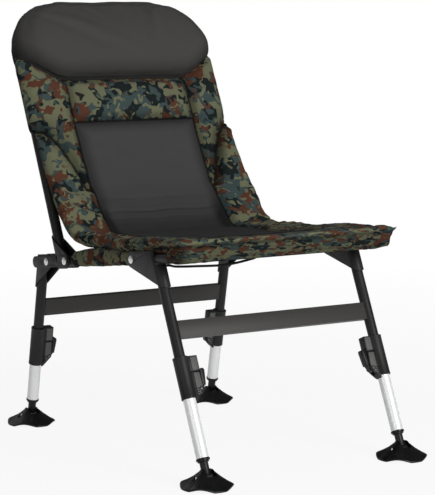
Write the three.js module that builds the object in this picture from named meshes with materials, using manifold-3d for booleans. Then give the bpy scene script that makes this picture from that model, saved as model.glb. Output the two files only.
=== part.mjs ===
// Folding carp fishing chair: tube frame, two folding leg pairs with telescopic legs and mud feet,
// a folding backrest and a padded mattress. Millimetres, +Z up, the chair faces -Y, origin on the
// ground under the middle of the chair.
import * as THREE from "three";
import { mergeVertices } from "three/addons/utils/BufferGeometryUtils.js";
import Module from "manifold-3d";

const wasm = await Module();
wasm.setup();

// Driving dimensions of the whole chair.
const legSpacing = 471;
const frameTube = 22;
const frameWall = 1.5;
const seatTilt = THREE.MathUtils.degToRad(6.7);
const splay = THREE.MathUtils.degToRad(17.4);
const rearPivotHeight = 371.9;
const rearPivotSetback = 229;
const backPivotSpacing = 80.5;
const frontPivotSpacing = 355.5;
const frontAxisReach = 78.5;
const rearAxisReach = 43;
const backAxisReach = 34;
const gap = 0.3;
const overrun = 5;
const roundSides = 16;
const smallSides = 10;
const arcSteps = 5;

// Folded steel brackets and their rivets.
const bracketWall = 3;
const bracketLength = 64;
const bracketEar = 16;
const bracketTopOverhang = 10;
const rivetShank = 8;
const rivetHead = 16.5;
const rivetHeadHeight = 2.4;

// Rail ends, the cloth sleeves on the rails and the seat platform.
const railEndWall = 2;
const railEndHeight = 25;
const railEndBehind = 63;
const railEndAhead = 93;
const railRearEnd = 56;
const railSlotWidth = 3;
const railSlotSetback = 49;
const frontRailReach = 528;
const frontRailBend = 60;
const sleeveWall = 2.2;
const sleeveEndRoom = 4;
const sleeveRise = 26.5;
const sleeveTopWidth = 9;
const platformThickness = 2;
const platformRear = 100;

// Cross bars, placed at a share of the bare leg between bracket and lock.
const barHeight = 36;
const barThickness = 12;
const barWall = 1.5;
const barCope = 6;
const frontBarShare = 0.603;
const rearBarShare = 0.469;

// Telescopic lower legs with their cam locks. A share of each leg's free length is drawn out.
const lowerTube = 25;
const lowerWall = 1.1;
const frontDrawnShare = 0.366;
const rearDrawnShare = 0.350;
const frontSlideIn = 34;
const rearSlideIn = 25;
const slideEndRoom = 9;
const lockLength = 84;
const lockSleeve = 30;
const lockThroat = 24;
const lockBoxReach = 33;
const lockBoxWidth = 18;
const lockBlockHeight = 31;
const lockPartingGroove = 1.2;
const lockTail = 6;
const lockForkGap = 12;
const lockRib = 1.2;
const lockRibs = 3;
const lockRibPitch = 5.5;
const leverPivotReach = 27;
const leverPivotDrop = 67;
const leverPin = 7;
const leverHub = 15;
const leverTopDrop = 26;
const leverReach = 44;
const leverWidth = 16;
const leverStep = 1;
const leverToe = 4;
const leverGap = 0.8;

// Mud feet and the leg plugs that they tilt on.
const pinHeight = 20.4;
const plugDrop = 37;
const plugFlange = 27.5;
const plugFlangeHeight = 4.5;
const plugStep = 23;
const plugStepHeight = 3;
const plugNeck = 17;
const plugSpigotLength = 18;
const plugEye = 18;
const footPin = 4.3;
const footPinReach = 21;
const footRadius = 52;
const footRim = 3.2;
const footWave = 8;
const footFlatShare = 0.26;
const footSides = 24;
const footHubRadius = 14;
const footHubHeight = 36;
const footCoreRadius = 25;
const footCoreBottom = 5;
const footSlotWidth = 21;
const footSlotLength = 44;
const footSlotFloor = 10.5;

// Backrest frame and upholstery, measured along and across the back tubes.
const backFrameTop = 582;
const backFrameBend = 115;
const upholsteryOverhang = 14.5;
const pocketDepth = 14.5;
const headTop = 597;
const headCorner = 128;
const headLowerEdge = 402;
const headSideEdge = 460;
const headFront = 36;
const sideRim = 8;
const bandLowerEdge = 303;
const bandFront = 25;
const panelHalfWidth = 152;
const panelFront = 27;
const panelFrontLow = 40;
const panelThickness = 24;
const wingNotch = 290;
const padCrown = 6;
const backPadLowerEdge = 141.5;
const sidePadFrontLow = 52;
const sidePadBackLow = 31;
const padSeam = 0.8;

// Seat mattress, measured along the rail from the rear pivot and square to it.
const seatFront = 551;
const seatRearEdge = 152;
const seatEar = 12;
const seatSkirtRear = 482;
const seatSkirtDrop = 10;
const seatCornerRadius = 32;
const mattressLift = 50;
const mattressThickness = 24;
const mattressDip = 12;
const sleeveClearance = 2.2;

// Elastic tie cord that hangs under the seat's front.
const tieCord = 5;
const cordSides = 6;
const cordSteps = 20;

const railRadius = frameTube / 2;
const halfSpacing = legSpacing / 2;
const halfWidth = halfSpacing + upholsteryOverhang;
const railClear = railRadius + gap;
const bracketInner = railClear;
const bracketOuter = bracketInner + bracketWall;
const railEndFace = bracketOuter + gap + railEndWall;
const rivetBore = rivetShank / 2 + gap;
const lockRadius = lockSleeve / 2;
const lowerRadius = lowerTube / 2;
const frontCrossing = frontPivotSpacing + frontAxisReach;
const frontLean = splay + seatTilt;
const rearLean = splay - seatTilt;
const frontCrossingHeight = rearPivotHeight + frontCrossing * Math.sin(seatTilt);
const rearCrossingHeight = rearPivotHeight - rearAxisReach * Math.sin(seatTilt);
const frontPinDistance = (frontCrossingHeight - pinHeight) / Math.cos(frontLean);
const rearPinDistance = (rearCrossingHeight - pinHeight) / Math.cos(rearLean);
const tubeStart = (railClear + railRadius * Math.sin(splay)) / Math.cos(splay);

const colours = {
  frame: [0x2b2b2a, 0.55, 0.2],
  bar: [0x464543, 0.55, 0.2],
  plastic: [0x1a1a1a, 0.6, 0],
  lock: [0x4f4d4a, 0.55, 0],
  aluminium: [0xd2d2d2, 0.3, 0.9],
  zinc: [0xeeeeee, 0.35, 0.7],
  cloth: [0x3f3f40, 0.9, 0],
  camouflage: [0x59563f, 0.9, 0],
  webbing: [0x151515, 0.9, 0],
};

function mesh(name, geometry, kind) {
  const [color, roughness, metalness] = colours[kind];
  const material = new THREE.MeshStandardMaterial({ color, roughness, metalness });
  const made = new THREE.Mesh(geometry, material);
  made.name = name;
  geometry.computeVertexNormals();
  return made;
}

function solid(geometry) {
  const bare = geometry.index ? geometry.toNonIndexed() : geometry.clone();
  bare.deleteAttribute("normal");
  bare.deleteAttribute("uv");
  const merged = mergeVertices(bare);
  return new wasm.Manifold(
    new wasm.Mesh({
      numProp: 3,
      vertProperties: merged.attributes.position.array,
      triVerts: new Uint32Array(merged.index.array),
    }),
  );
}

function geometryOf(body) {
  const made = body.getMesh();
  const places = new Float32Array(made.vertProperties);
  const geometry = new THREE.BufferGeometry();
  geometry.setAttribute("position", new THREE.BufferAttribute(places, 3));
  geometry.setIndex(new THREE.BufferAttribute(made.triVerts, 1));
  return geometry;
}

function box(x0, x1, y0, y1, z0, z1) {
  const geometry = new THREE.BoxGeometry(x1 - x0, y1 - y0, z1 - z0);
  return geometry.translate((x0 + x1) / 2, (y0 + y1) / 2, (z0 + z1) / 2);
}

// A round bar along X, Y or Z between two places on that axis.
function bar(axis, radius, from, to, sides = roundSides) {
  const geometry = new THREE.CylinderGeometry(radius, radius, to - from, sides);
  geometry.translate(0, (from + to) / 2, 0);
  if (axis === "x") geometry.rotateZ(-Math.PI / 2);
  if (axis === "z") geometry.rotateX(Math.PI / 2);
  return geometry;
}

// A closed outline in Y and Z, made thick from x0 to x1.
function plate(shape, x0, x1) {
  const settings = { depth: x1 - x0, bevelEnabled: false, curveSegments: arcSteps };
  const geometry = new THREE.ExtrudeGeometry(shape, settings);
  const turn = new THREE.Matrix4().makeBasis(
    new THREE.Vector3(0, 1, 0),
    new THREE.Vector3(0, 0, 1),
    new THREE.Vector3(1, 0, 0),
  );
  return geometry.applyMatrix4(turn).translate(x0, 0, 0);
}

function ring(outer, inner) {
  const shape = new THREE.Shape();
  shape.absarc(0, 0, outer, 0, 2 * Math.PI);
  if (inner > 0) {
    const hole = new THREE.Path();
    hole.absarc(0, 0, inner, 0, 2 * Math.PI, true);
    shape.holes.push(hole);
  }
  return shape;
}

// A path through given points, one step to each, for bent tubes and cords.
class PointPath extends THREE.Curve {
  constructor(points) {
    super();
    this.points = points;
  }
  getPoint(t, target = new THREE.Vector3()) {
    const last = this.points.length - 1;
    const place = Math.min(t * last, last);
    const index = Math.min(Math.floor(place), last - 1);
    return target.lerpVectors(this.points[index], this.points[index + 1], place - index);
  }
  getUtoTmapping(u) {
    return u;
  }
  getTangent(t, target = new THREE.Vector3()) {
    const last = this.points.length - 1;
    const index = Math.round(t * last);
    const before = this.points[Math.max(index - 1, 0)];
    const here = this.points[index];
    const after = this.points[Math.min(index + 1, last)];
    const arriving = here.clone().sub(before).normalize();
    const leaving = after.clone().sub(here).normalize();
    return target.copy(arriving).add(leaving).normalize();
  }
}

function bentTube(points, outer, inner, sides = roundSides) {
  return new THREE.ExtrudeGeometry(ring(outer, inner), {
    steps: points.length - 1,
    extrudePath: new PointPath(points),
    curveSegments: sides / 2,
  });
}

// A straight tube along Z.
function straightTube(outer, inner, from, to) {
  const geometry = new THREE.ExtrudeGeometry(ring(outer, inner), {
    depth: to - from,
    bevelEnabled: false,
    curveSegments: roundSides / 2,
  });
  return geometry.translate(0, 0, from);
}

// The centre line of a U-shaped tube in X and one more direction, with two equal bends.
function uPath(half, start, end, bend, place) {
  const points = [place(-half, start)];
  for (const side of [-1, 1]) {
    for (let i = 0; i <= arcSteps; i++) {
      const turn = ((side < 0 ? i : arcSteps - i) / arcSteps) * (Math.PI / 2);
      const x = side * (half - bend + bend * Math.cos(turn));
      points.push(place(x, end - bend + bend * Math.sin(turn)));
    }
  }
  points.push(place(half, start));
  return points;
}

// Bracket: a steel channel folded round the tube, whose two cheeks reach to the rivet on the rail.
// Y points from the rivet to the tube, Z from the rail to the tube's far end.
function bracket(reach) {
  const along = new THREE.Vector2(Math.sin(splay), Math.cos(splay));
  const away = new THREE.Vector2(Math.cos(splay), -Math.sin(splay));
  const onAxis = (distance, offset) =>
    new THREE.Vector2(reach, 0).addScaledVector(along, distance).addScaledVector(away, offset);
  const nearEnd = onAxis(bracketLength, -bracketOuter);
  const farEnd = onAxis(bracketLength, bracketOuter);
  const farTop = onAxis(bracketOuter, bracketOuter);
  const tangent = Math.atan2(nearEnd.y, nearEnd.x) + Math.acos(bracketEar / nearEnd.length());
  const shape = new THREE.Shape();
  shape.moveTo(nearEnd.x, nearEnd.y);
  shape.absarc(0, 0, bracketEar, tangent, 1.5 * Math.PI, false);
  shape.lineTo(reach + bracketTopOverhang, -bracketEar);
  shape.lineTo(farTop.x, farTop.y);
  shape.lineTo(farEnd.x, farEnd.y);
  shape.closePath();
  const channel = (radius) => {
    const section = new THREE.Shape();
    const depth = reach + bracketLength;
    section.moveTo(-radius, -depth);
    section.lineTo(-radius, 0);
    section.absarc(0, 0, radius, Math.PI, 0, true);
    section.lineTo(radius, -depth);
    section.closePath();
    const long = bracketLength + 2 * reach + 2 * bracketEar;
    const settings = { depth: long, bevelEnabled: false, curveSegments: arcSteps };
    const geometry = new THREE.ExtrudeGeometry(section, settings);
    geometry.translate(0, 0, -long / 2);
    return solid(geometry.rotateX(-splay).translate(0, reach, 0));
  };
  const far = reach + bracketLength;
  const outside = bracketOuter + overrun;
  return geometryOf(
    solid(plate(shape, -outside, outside))
      .intersect(channel(bracketOuter))
      .subtract(channel(bracketInner))
      .subtract(solid(box(-bracketInner, bracketInner, -far, far, -far, bracketInner)))
      .subtract(solid(bar("x", rivetBore, -outside, outside, smallSides))),
  );
}

// Rivet through a rail, with a domed head on each side.
function rivet(seatReach) {
  const head = rivetHead / 2;
  const profile = [
    [0, seatReach + rivetHeadHeight],
    [head / 2, seatReach + rivetHeadHeight],
    [head, seatReach + rivetHeadHeight / 2],
    [head, seatReach],
    [rivetShank / 2, seatReach],
    [rivetShank / 2, -seatReach],
    [head, -seatReach],
    [head, -seatReach - rivetHeadHeight / 2],
    [head / 2, -seatReach - rivetHeadHeight],
    [0, -seatReach - rivetHeadHeight],
  ].map(([r, y]) => new THREE.Vector2(r, y)).reverse();
  return new THREE.LatheGeometry(profile, smallSides).rotateZ(-Math.PI / 2);
}

// Steel strap folded round the rail's rear end, riveted through at both rear pivots.
function railEnd() {
  const outer = railEndFace;
  const inner = outer - railEndWall;
  const half = railEndHeight / 2;
  const shape = new THREE.Shape();
  shape.moveTo(-railEndAhead, -half);
  shape.lineTo(railEndBehind - half, -half);
  shape.absarc(railEndBehind - half, 0, half, -Math.PI / 2, Math.PI / 2, false);
  shape.lineTo(-railEndAhead, half);
  shape.closePath();
  const high = half + overrun;
  const hollow = box(-inner, inner, -railEndAhead - overrun, railEndBehind - railEndWall, -high, high);
  let made = solid(plate(shape, -outer, outer)).subtract(solid(hollow));
  for (const y of [0, -backPivotSpacing]) {
    const bore = bar("x", rivetBore, -outer - overrun, outer + overrun, smallSides);
    made = made.subtract(solid(bore.translate(0, y, 0)));
  }
  const slot = box(inner - overrun, outer + overrun, 0, railSlotWidth, 0, high);
  const both = solid(slot).add(solid(slot.clone().translate(-outer - inner, 0, 0)));
  return geometryOf(made.subtract(both.translate([0, -railSlotSetback, 0])));
}

// A closed body between two grids of points, whose rims are joined by walls.
function slab(columns, rows, upper, lower) {
  const places = [];
  const index = [];
  const wide = columns + 1;
  const count = wide * (rows + 1);
  for (const face of [upper, lower]) {
    for (let j = 0; j <= rows; j++) {
      for (let i = 0; i <= columns; i++) places.push(...face(i / columns, j / rows));
    }
  }
  const quad = (a, b, c, d) => index.push(a, b, c, a, c, d);
  for (let j = 0; j < rows; j++) {
    for (let i = 0; i < columns; i++) {
      const a = j * wide + i;
      quad(a, a + wide, a + wide + 1, a + 1);
      quad(count + a, count + a + 1, count + a + wide + 1, count + a + wide);
    }
  }
  const rim = [];
  for (let i = 0; i < columns; i++) rim.push(i);
  for (let j = 0; j < rows; j++) rim.push(j * wide + columns);
  for (let i = columns; i > 0; i--) rim.push(rows * wide + i);
  for (let j = rows; j > 0; j--) rim.push(j * wide);
  rim.forEach((a, k) => {
    const b = rim[(k + 1) % rim.length];
    quad(a, b, count + b, count + a);
  });
  const geometry = new THREE.BufferGeometry();
  geometry.setAttribute("position", new THREE.BufferAttribute(new Float32Array(places), 3));
  geometry.setIndex(index);
  return geometry;
}

const chair = new THREE.Group();
chair.name = "carp_chair";

// Seat frame: everything on it is placed along the rail, from the rear pivot on the rail's axis.
const seat = new THREE.Group();
seat.position.set(0, rearPivotSetback, rearPivotHeight);
seat.rotation.x = -seatTilt;
chair.add(seat);

const onRail = (x, s) => new THREE.Vector3(x, -s, 0);
const railPath = uPath(halfSpacing, -railRearEnd, frontRailReach, frontRailBend, onRail);
let seatTube = solid(bentTube(railPath, railRadius, railRadius - frameWall));
for (const side of [-1, 1]) {
  for (const s of [0, backPivotSpacing, frontPivotSpacing]) {
    const bore = bar("x", rivetBore, -frameTube, frameTube, smallSides);
    seatTube = seatTube.subtract(solid(bore.translate(side * halfSpacing, -s, 0)));
  }
}
seat.add(mesh("seat_frame_tube", geometryOf(seatTube), "frame"));

// Cloth platform stretched between the rails, under the mattress.
const platformHalf = halfSpacing - railEndFace - rivetHeadHeight - sleeveWall;
const platformFront = frontRailReach - railRadius - sleeveWall;
const platformBottom = railRadius + gap;
const platformTop = platformBottom + platformThickness;
seat.add(
  mesh(
    "seat_platform",
    box(-platformHalf, platformHalf, -platformFront, -platformRear, platformBottom, platformTop),
    "webbing",
  ),
);

// Mattress profile along the rail: shares of the seat's length, and of the mattress's lift.
const topShares = [
  [0.1, 2.98],
  [0.156, 2.04],
  [0.205, 1.36],
  [0.25, 1.1],
  [0.4, 0.98],
  [0.56, 0.79],
  [0.745, 0.84],
  [0.895, 0.75],
  [1, 0.54],
];
const underShares = [
  [0.06, 2.86],
  [0.09, 2.2],
  [0.142, 1.54],
  [0.215, 0.94],
  [0.27, 0.76],
  [0.4, 0.6],
  [0.58, 0.41],
  [0.76, 0.34],
  [1, 0.3],
];
const profile = (shares) =>
  new THREE.SplineCurve(shares.map(([s, h]) => new THREE.Vector2(s * seatFront, h * mattressLift)));
const topLine = profile(topShares);
const underLine = profile(underShares);

// How far along a profile line it passes a given distance along the rail, from 0 to 1.
function placeOn(line, s) {
  let low = 0;
  let high = 1;
  for (let i = 0; i < 30; i++) {
    const middle = (low + high) / 2;
    if (line.getPoint(middle).x < s) low = middle;
    else high = middle;
  }
  return low;
}

const heightAt = (line, s) => line.getPoint(placeOn(line, s)).y;
const mix = (a, b, share) => a + (b - a) * share;
const fall = (x) => 1 - x ** 4;
const swell = (u, v) => fall(2 * u - 1) * fall(2 * v - 1);

// Height of the mattress's underside, which sags on to the platform between the brackets.
function undersideAt(x, s) {
  const edge = heightAt(underLine, s);
  const across = Math.min(1, Math.abs(x) / (halfSpacing - bracketOuter - padSeam));
  return edge - (edge - platformTop - gap) * (1 - across ** 6);
}

// Seat mattress: thin at the sewn edges, hollowed in the middle, with ears at the front corners
// and a skirt that wraps the front of the rail.
const seatRows = (v) => mix(seatRearEdge, seatFront, v);
const frontShare = (v) => Math.max(0, v - 0.8) * 5;
const seatPad = slab(
  12,
  10,
  (u, v) => {
    const x = 2 * u - 1;
    const s = seatRows(v);
    const ear = seatEar * Math.max(0, Math.abs(x) - 0.75) * 4 * frontShare(v);
    const dip = mattressDip * fall(x) * (1 - frontShare(v) ** 2);
    return [x * (halfWidth + ear), -s - ear / 2, heightAt(topLine, s) - dip];
  },
  (u, v) => {
    const x = (2 * u - 1) * halfWidth;
    return [x, gap - seatRows(v), undersideAt(x, seatRows(v))];
  },
);

// Outline of the seat's front in plan, with round corners.
function frontOutline(half, front, corner, rear) {
  const shape = new THREE.Shape();
  shape.moveTo(-half, rear);
  shape.lineTo(-half, front - corner);
  shape.absarc(-half + corner, front - corner, corner, Math.PI, Math.PI / 2, true);
  shape.lineTo(half - corner, front);
  shape.absarc(half - corner, front - corner, corner, Math.PI / 2, 0, true);
  shape.lineTo(half, rear);
  shape.closePath();
  return shape;
}

function plan(shape, low, high) {
  const settings = { depth: high - low, bevelEnabled: false, curveSegments: arcSteps };
  return new THREE.ExtrudeGeometry(shape, settings).rotateX(Math.PI).translate(0, 0, high);
}

const skirtRoof = platformTop + gap;
const skirtOutline = frontOutline(halfWidth, seatFront, seatCornerRadius, seatSkirtRear);
const hollowOutline = frontOutline(
  halfSpacing + railClear,
  frontRailReach + railClear,
  frontRailBend + railClear,
  0,
);
const skirt = solid(plan(skirtOutline, -seatSkirtDrop, skirtRoof + sleeveWall));
const railHollow = solid(plan(hollowOutline, -seatSkirtDrop - overrun, skirtRoof));
const mattress = solid(seatPad).add(skirt).subtract(railHollow);
seat.add(mesh("seat_mattress", geometryOf(mattress), "camouflage"));

// The part of the mattress that bends where the backrest folds.
const bendFront = seatRearEdge - padSeam;
function bendSection(v) {
  const top = topLine.getPoint(mix(0, placeOn(topLine, bendFront), v));
  const under = underLine.getPoint(mix(0, placeOn(underLine, bendFront), v));
  return { top, under, depth: top.distanceTo(under) };
}
const bendPad = slab(
  12,
  6,
  (u, v) => {
    const { top, under, depth } = bendSection(v);
    top.lerp(under, (mattressDip * fall(2 * u - 1)) / depth);
    return [mix(-halfWidth, halfWidth, u), -top.x, top.y];
  },
  (u, v) => {
    const { top, under, depth } = bendSection(v);
    const x = mix(-halfWidth, halfWidth, u);
    const low = undersideAt(x, Math.max(under.x, platformRear));
    const drop = mix(depth, mattressDip + mattressThickness, 1 - (x / halfWidth) ** 6);
    top.lerp(under, drop / depth);
    return [x, -top.x, Math.max(top.y, low)];
  },
);
seat.add(mesh("mattress_bend", bendPad, "camouflage"));

// Camouflage sleeve sewn round the rail, rising to the mattress in the middle.
function railSleeve() {
  const inner = railClear;
  const outer = inner + sleeveWall;
  const rear = backPivotSpacing + bracketEar + sleeveEndRoom;
  const front = frontPivotSpacing - bracketEar - sleeveEndRoom;
  const shape = new THREE.Shape();
  shape.absarc(0, 0, outer, Math.PI, 2 * Math.PI, false);
  shape.quadraticCurveTo(outer, outer, sleeveTopWidth / 2, sleeveRise);
  shape.lineTo(-sleeveTopWidth / 2, sleeveRise);
  shape.quadraticCurveTo(-outer, outer, -outer, 0);
  const hole = new THREE.Path();
  hole.absarc(0, 0, inner, 0, 2 * Math.PI, true);
  shape.holes.push(hole);
  const depth = front - rear;
  const settings = { depth, steps: arcSteps, bevelEnabled: false, curveSegments: roundSides / 2 };
  const geometry = new THREE.ExtrudeGeometry(shape, settings);
  const places = geometry.attributes.position;
  for (let i = 0; i < places.count; i++) {
    const share = places.getZ(i) / depth;
    const roof = undersideAt(halfSpacing, rear + places.getZ(i)) - sleeveClearance;
    const swelling = Math.sqrt(Math.sin(Math.PI * mix(0.06, 0.94, share)));
    const arch = mix(outer, Math.min(roof, sleeveRise), swelling);
    const above = (places.getY(i) - outer) / (sleeveRise - outer);
    if (above > 0) places.setY(i, mix(outer, arch, above));
  }
  return geometry.rotateX(Math.PI / 2).translate(0, -rear, 0);
}

for (const [side, word] of [[-1, "left"], [1, "right"]]) {
  const end = mesh("rail_end_" + word, railEnd(), "frame");
  end.position.x = side * halfSpacing;
  seat.add(end);
  const sleeve = mesh("rail_sleeve_" + word, railSleeve(), "camouflage");
  sleeve.position.x = side * halfSpacing;
  seat.add(sleeve);
  for (const [place, s, face] of [
    ["rear", 0, railEndFace + gap],
    ["back", backPivotSpacing, railEndFace + gap],
    ["front", frontPivotSpacing, bracketOuter + gap],
  ]) {
    const pin = mesh("rivet_" + place + "_" + word, rivet(face), "zinc");
    pin.position.set(side * halfSpacing, -s, 0);
    seat.add(pin);
  }
}

// Elastic tie cord that hangs between the left rail and the platform, in front of the brackets.
const cordRoute = [
  [-234, 462, -13.8],
  [-225, 462, -14.2],
  [-214, 462, -17],
  [-190, 462, -18.8],
  [-167, 461, -19.8],
  [-115, 461, -22],
  [-80, 461, -21],
  [-37, 461, -15.2],
  [-22, 461, -12],
  [-9, 461, -4.5],
  [-2, 461, 3],
  [-2, 461, 7],
  [-2, 461, 10.7],
];
const cordPoints = cordRoute.map(([x, s, h]) => new THREE.Vector3(x, -s, h));
const cordCurve = new THREE.CatmullRomCurve3(cordPoints);
const cordTube = bentTube(cordCurve.getSpacedPoints(cordSteps), tieCord / 2, 0, cordSides);
seat.add(mesh("tie_cord", cordTube, "webbing"));

// Cam lock: a sleeve round both tubes, with a block and a fork for the lever on its inboard side.
function lockBody() {
  const lowerClear = lowerRadius + gap;
  const profileOf = [
    [railClear, 0],
    [lockRadius, 0],
    [lockRadius, -lockLength],
    [lowerClear, -lockLength],
    [lowerClear, -lockThroat],
    [railClear, -lockThroat],
    [railClear, 0],
  ].map(([r, z]) => new THREE.Vector2(r, z)).reverse();
  const sleeve = new THREE.LatheGeometry(profileOf, roundSides).rotateX(Math.PI / 2);
  const wide = lockBoxWidth / 2;
  const bodyTop = -lockBlockHeight - lockPartingGroove;
  const lockEnd = lockLength + lockTail + overrun;
  const forkFace = leverPivotReach - leverHub / 2 - gap;
  const outline = new THREE.Shape();
  outline.moveTo(0, bodyTop);
  outline.lineTo(lockBoxReach - lockPartingGroove, bodyTop);
  outline.lineTo(lockBoxReach, -leverPivotDrop + leverPin);
  outline.lineTo(lockBoxReach, -leverPivotDrop);
  outline.lineTo(leverPivotReach, -leverPivotDrop - leverHub / 2);
  outline.lineTo(lockRadius, -lockLength - lockTail / 2);
  outline.lineTo(lockRadius / 2, -lockLength - lockTail);
  outline.lineTo(0, -lockLength);
  outline.closePath();
  const settings = { depth: lockBoxWidth, bevelEnabled: false };
  const lower = new THREE.ExtrudeGeometry(outline, settings).rotateX(Math.PI / 2).translate(0, wide, 0);
  const fork = box(
    forkFace,
    leverReach,
    -lockForkGap / 2,
    lockForkGap / 2,
    -lockEnd,
    -leverPivotDrop + leverHub / 2 + gap,
  );
  const pin = bar("y", leverPin / 2, -wide - lockRib / 2, wide + lockRib / 2, smallSides);
  let body = solid(box(0, lockBoxReach, -wide, wide, -lockBlockHeight, 0))
    .add(solid(lower))
    .subtract(solid(fork))
    .add(solid(pin.translate(leverPivotReach, 0, -leverPivotDrop)))
    .add(solid(sleeve));
  for (let i = 0; i < lockRibs; i++) {
    const z = -lockLength + lockTail + i * lockRibPitch;
    const ribWide = wide + lockRib;
    body = body.add(solid(box(lockRadius / 2, forkFace, -ribWide, ribWide, z, z + lockRib)));
  }
  return geometryOf(
    body
      .subtract(solid(bar("z", railClear, -lockThroat - overrun, overrun)))
      .subtract(solid(bar("z", lowerClear, -lockEnd, -lockThroat))),
  );
}

// Cam lever: a hub on the fork's pin and a handle that lies along the lock's outer face.
function camLever() {
  const hub = leverHub / 2;
  const inside = lockBoxReach - leverPivotReach + leverGap;
  const outside = leverReach - leverPivotReach;
  const top = leverPivotDrop - leverTopDrop;
  const outline = new THREE.Shape();
  outline.moveTo(inside, hub - leverStep);
  outline.lineTo(outside - leverToe, hub - leverStep);
  outline.lineTo(outside, top - leverPin / 2);
  outline.quadraticCurveTo(outside - leverGap, top, (inside + outside) / 2, top);
  outline.lineTo(inside, top - leverPin / 2);
  outline.closePath();
  const settings = { depth: leverWidth, bevelEnabled: false, curveSegments: arcSteps };
  const handle = new THREE.ExtrudeGeometry(outline, settings);
  const web = new THREE.Shape();
  web.moveTo(0, hub);
  web.lineTo(inside + leverStep, hub);
  web.lineTo(outside - leverToe - leverStep, hub - leverStep / 2);
  web.lineTo(hub, -leverStep);
  web.lineTo(0, -hub);
  web.closePath();
  const half = lockForkGap / 2 - gap;
  const neck = new THREE.ExtrudeGeometry(web, { depth: 2 * half, bevelEnabled: false });
  return geometryOf(
    solid(handle.rotateX(Math.PI / 2).translate(0, leverWidth / 2, 0))
      .add(solid(neck.rotateX(Math.PI / 2).translate(0, half, 0)))
      .add(solid(bar("y", hub, -half, half)))
      .subtract(solid(bar("y", leverPin / 2 + gap, -leverWidth, leverWidth, smallSides))),
  );
}

// Leg plug: a spigot in the tube, a flange under its end, a neck and the eye for the foot's pin.
function legPlug() {
  const spigot = lowerRadius - lowerWall - gap;
  const profileOf = [
    [0, plugSpigotLength],
    [spigot, plugSpigotLength],
    [spigot, -gap],
    [plugFlange / 2, -gap],
    [plugFlange / 2, -plugFlangeHeight],
    [plugStep / 2, -plugFlangeHeight],
    [plugStep / 2, -plugFlangeHeight - plugStepHeight],
    [plugNeck / 2, -plugFlangeHeight - plugStepHeight],
    [plugNeck / 2, -plugDrop],
    [0, -plugDrop],
  ].map(([r, z]) => new THREE.Vector2(r, z)).reverse();
  const stem = new THREE.LatheGeometry(profileOf, roundSides).rotateX(Math.PI / 2);
  const half = footSlotWidth / 2 - gap;
  const eye = bar("x", plugEye / 2, -half, half).translate(0, 0, -plugDrop);
  const bore = bar("x", footPin / 2 + gap, -footSlotWidth, footSlotWidth, smallSides);
  return geometryOf(solid(stem).add(solid(eye)).subtract(solid(bore.translate(0, 0, -plugDrop))));
}

// Mud foot: a wavy conical pad on four lobes, with a slot and a pin for the plug's eye.
function mudFoot() {
  const shareAt = (r) => (r - footHubRadius) / (footRadius - footHubRadius);
  const slope = (r) => mix(footHubHeight - footRim, footRim, shareAt(r));
  const outer = [0.25, 0.5, 0.75].map((share) => {
    const r = mix(footHubRadius, footRadius, share);
    return [r, slope(r) - (footRim / 3) * Math.sin(Math.PI * share)];
  });
  const under = [0.85, 0.6].map((share) => {
    const r = mix(footHubRadius, footRadius, share);
    return [r, slope(r) - footRim * 2];
  });
  const profileOf = [
    [0, footHubHeight],
    [footHubRadius - footRim, footHubHeight],
    [footHubRadius, footHubHeight - footRim],
    ...outer,
    [footRadius, footRim],
    [footRadius, 0],
    [footRadius - footRim, 0],
    ...under,
    [footCoreRadius, slope(footCoreRadius) - footRim * 2],
    [footCoreRadius, footCoreBottom],
    [0, footCoreBottom],
  ].map(([r, z]) => new THREE.Vector2(r, z)).reverse();
  const geometry = new THREE.LatheGeometry(profileOf, footSides).rotateX(Math.PI / 2);
  const places = geometry.attributes.position;
  for (let i = 0; i < places.count; i++) {
    const x = places.getX(i);
    const y = places.getY(i);
    const reach = Math.max(0, Math.hypot(x, y) - footCoreRadius) / (footRadius - footCoreRadius);
    const lobe = Math.max(0, (1 - Math.cos(4 * Math.atan2(y, x))) / 2 - footFlatShare);
    places.setZ(i, places.getZ(i) + footWave * lobe * Math.min(1, reach * 1.15) ** 1.5);
  }
  const wide = footSlotWidth / 2;
  const long = footSlotLength / 2;
  const slot = box(-wide, wide, -long, long, footSlotFloor, footHubHeight + overrun);
  const bore = bar("x", footPin / 2 + gap, -footRadius, footRadius, smallSides);
  return geometryOf(
    solid(geometry)
      .subtract(solid(slot))
      .subtract(solid(bore.translate(0, 0, pinHeight))),
  );
}

// The two leg pairs. Each pair's frame turns about its rivets; each lower leg slides on its tube.
const pairs = [
  {
    word: "front",
    along: frontPivotSpacing,
    reach: frontAxisReach,
    pinDistance: frontPinDistance,
    drawnShare: frontDrawnShare,
    slideIn: frontSlideIn,
    barShare: frontBarShare,
    facing: -1,
  },
  {
    word: "rear",
    along: 0,
    reach: rearAxisReach,
    pinDistance: rearPinDistance,
    drawnShare: rearDrawnShare,
    slideIn: rearSlideIn,
    barShare: rearBarShare,
    facing: 1,
  },
];

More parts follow.
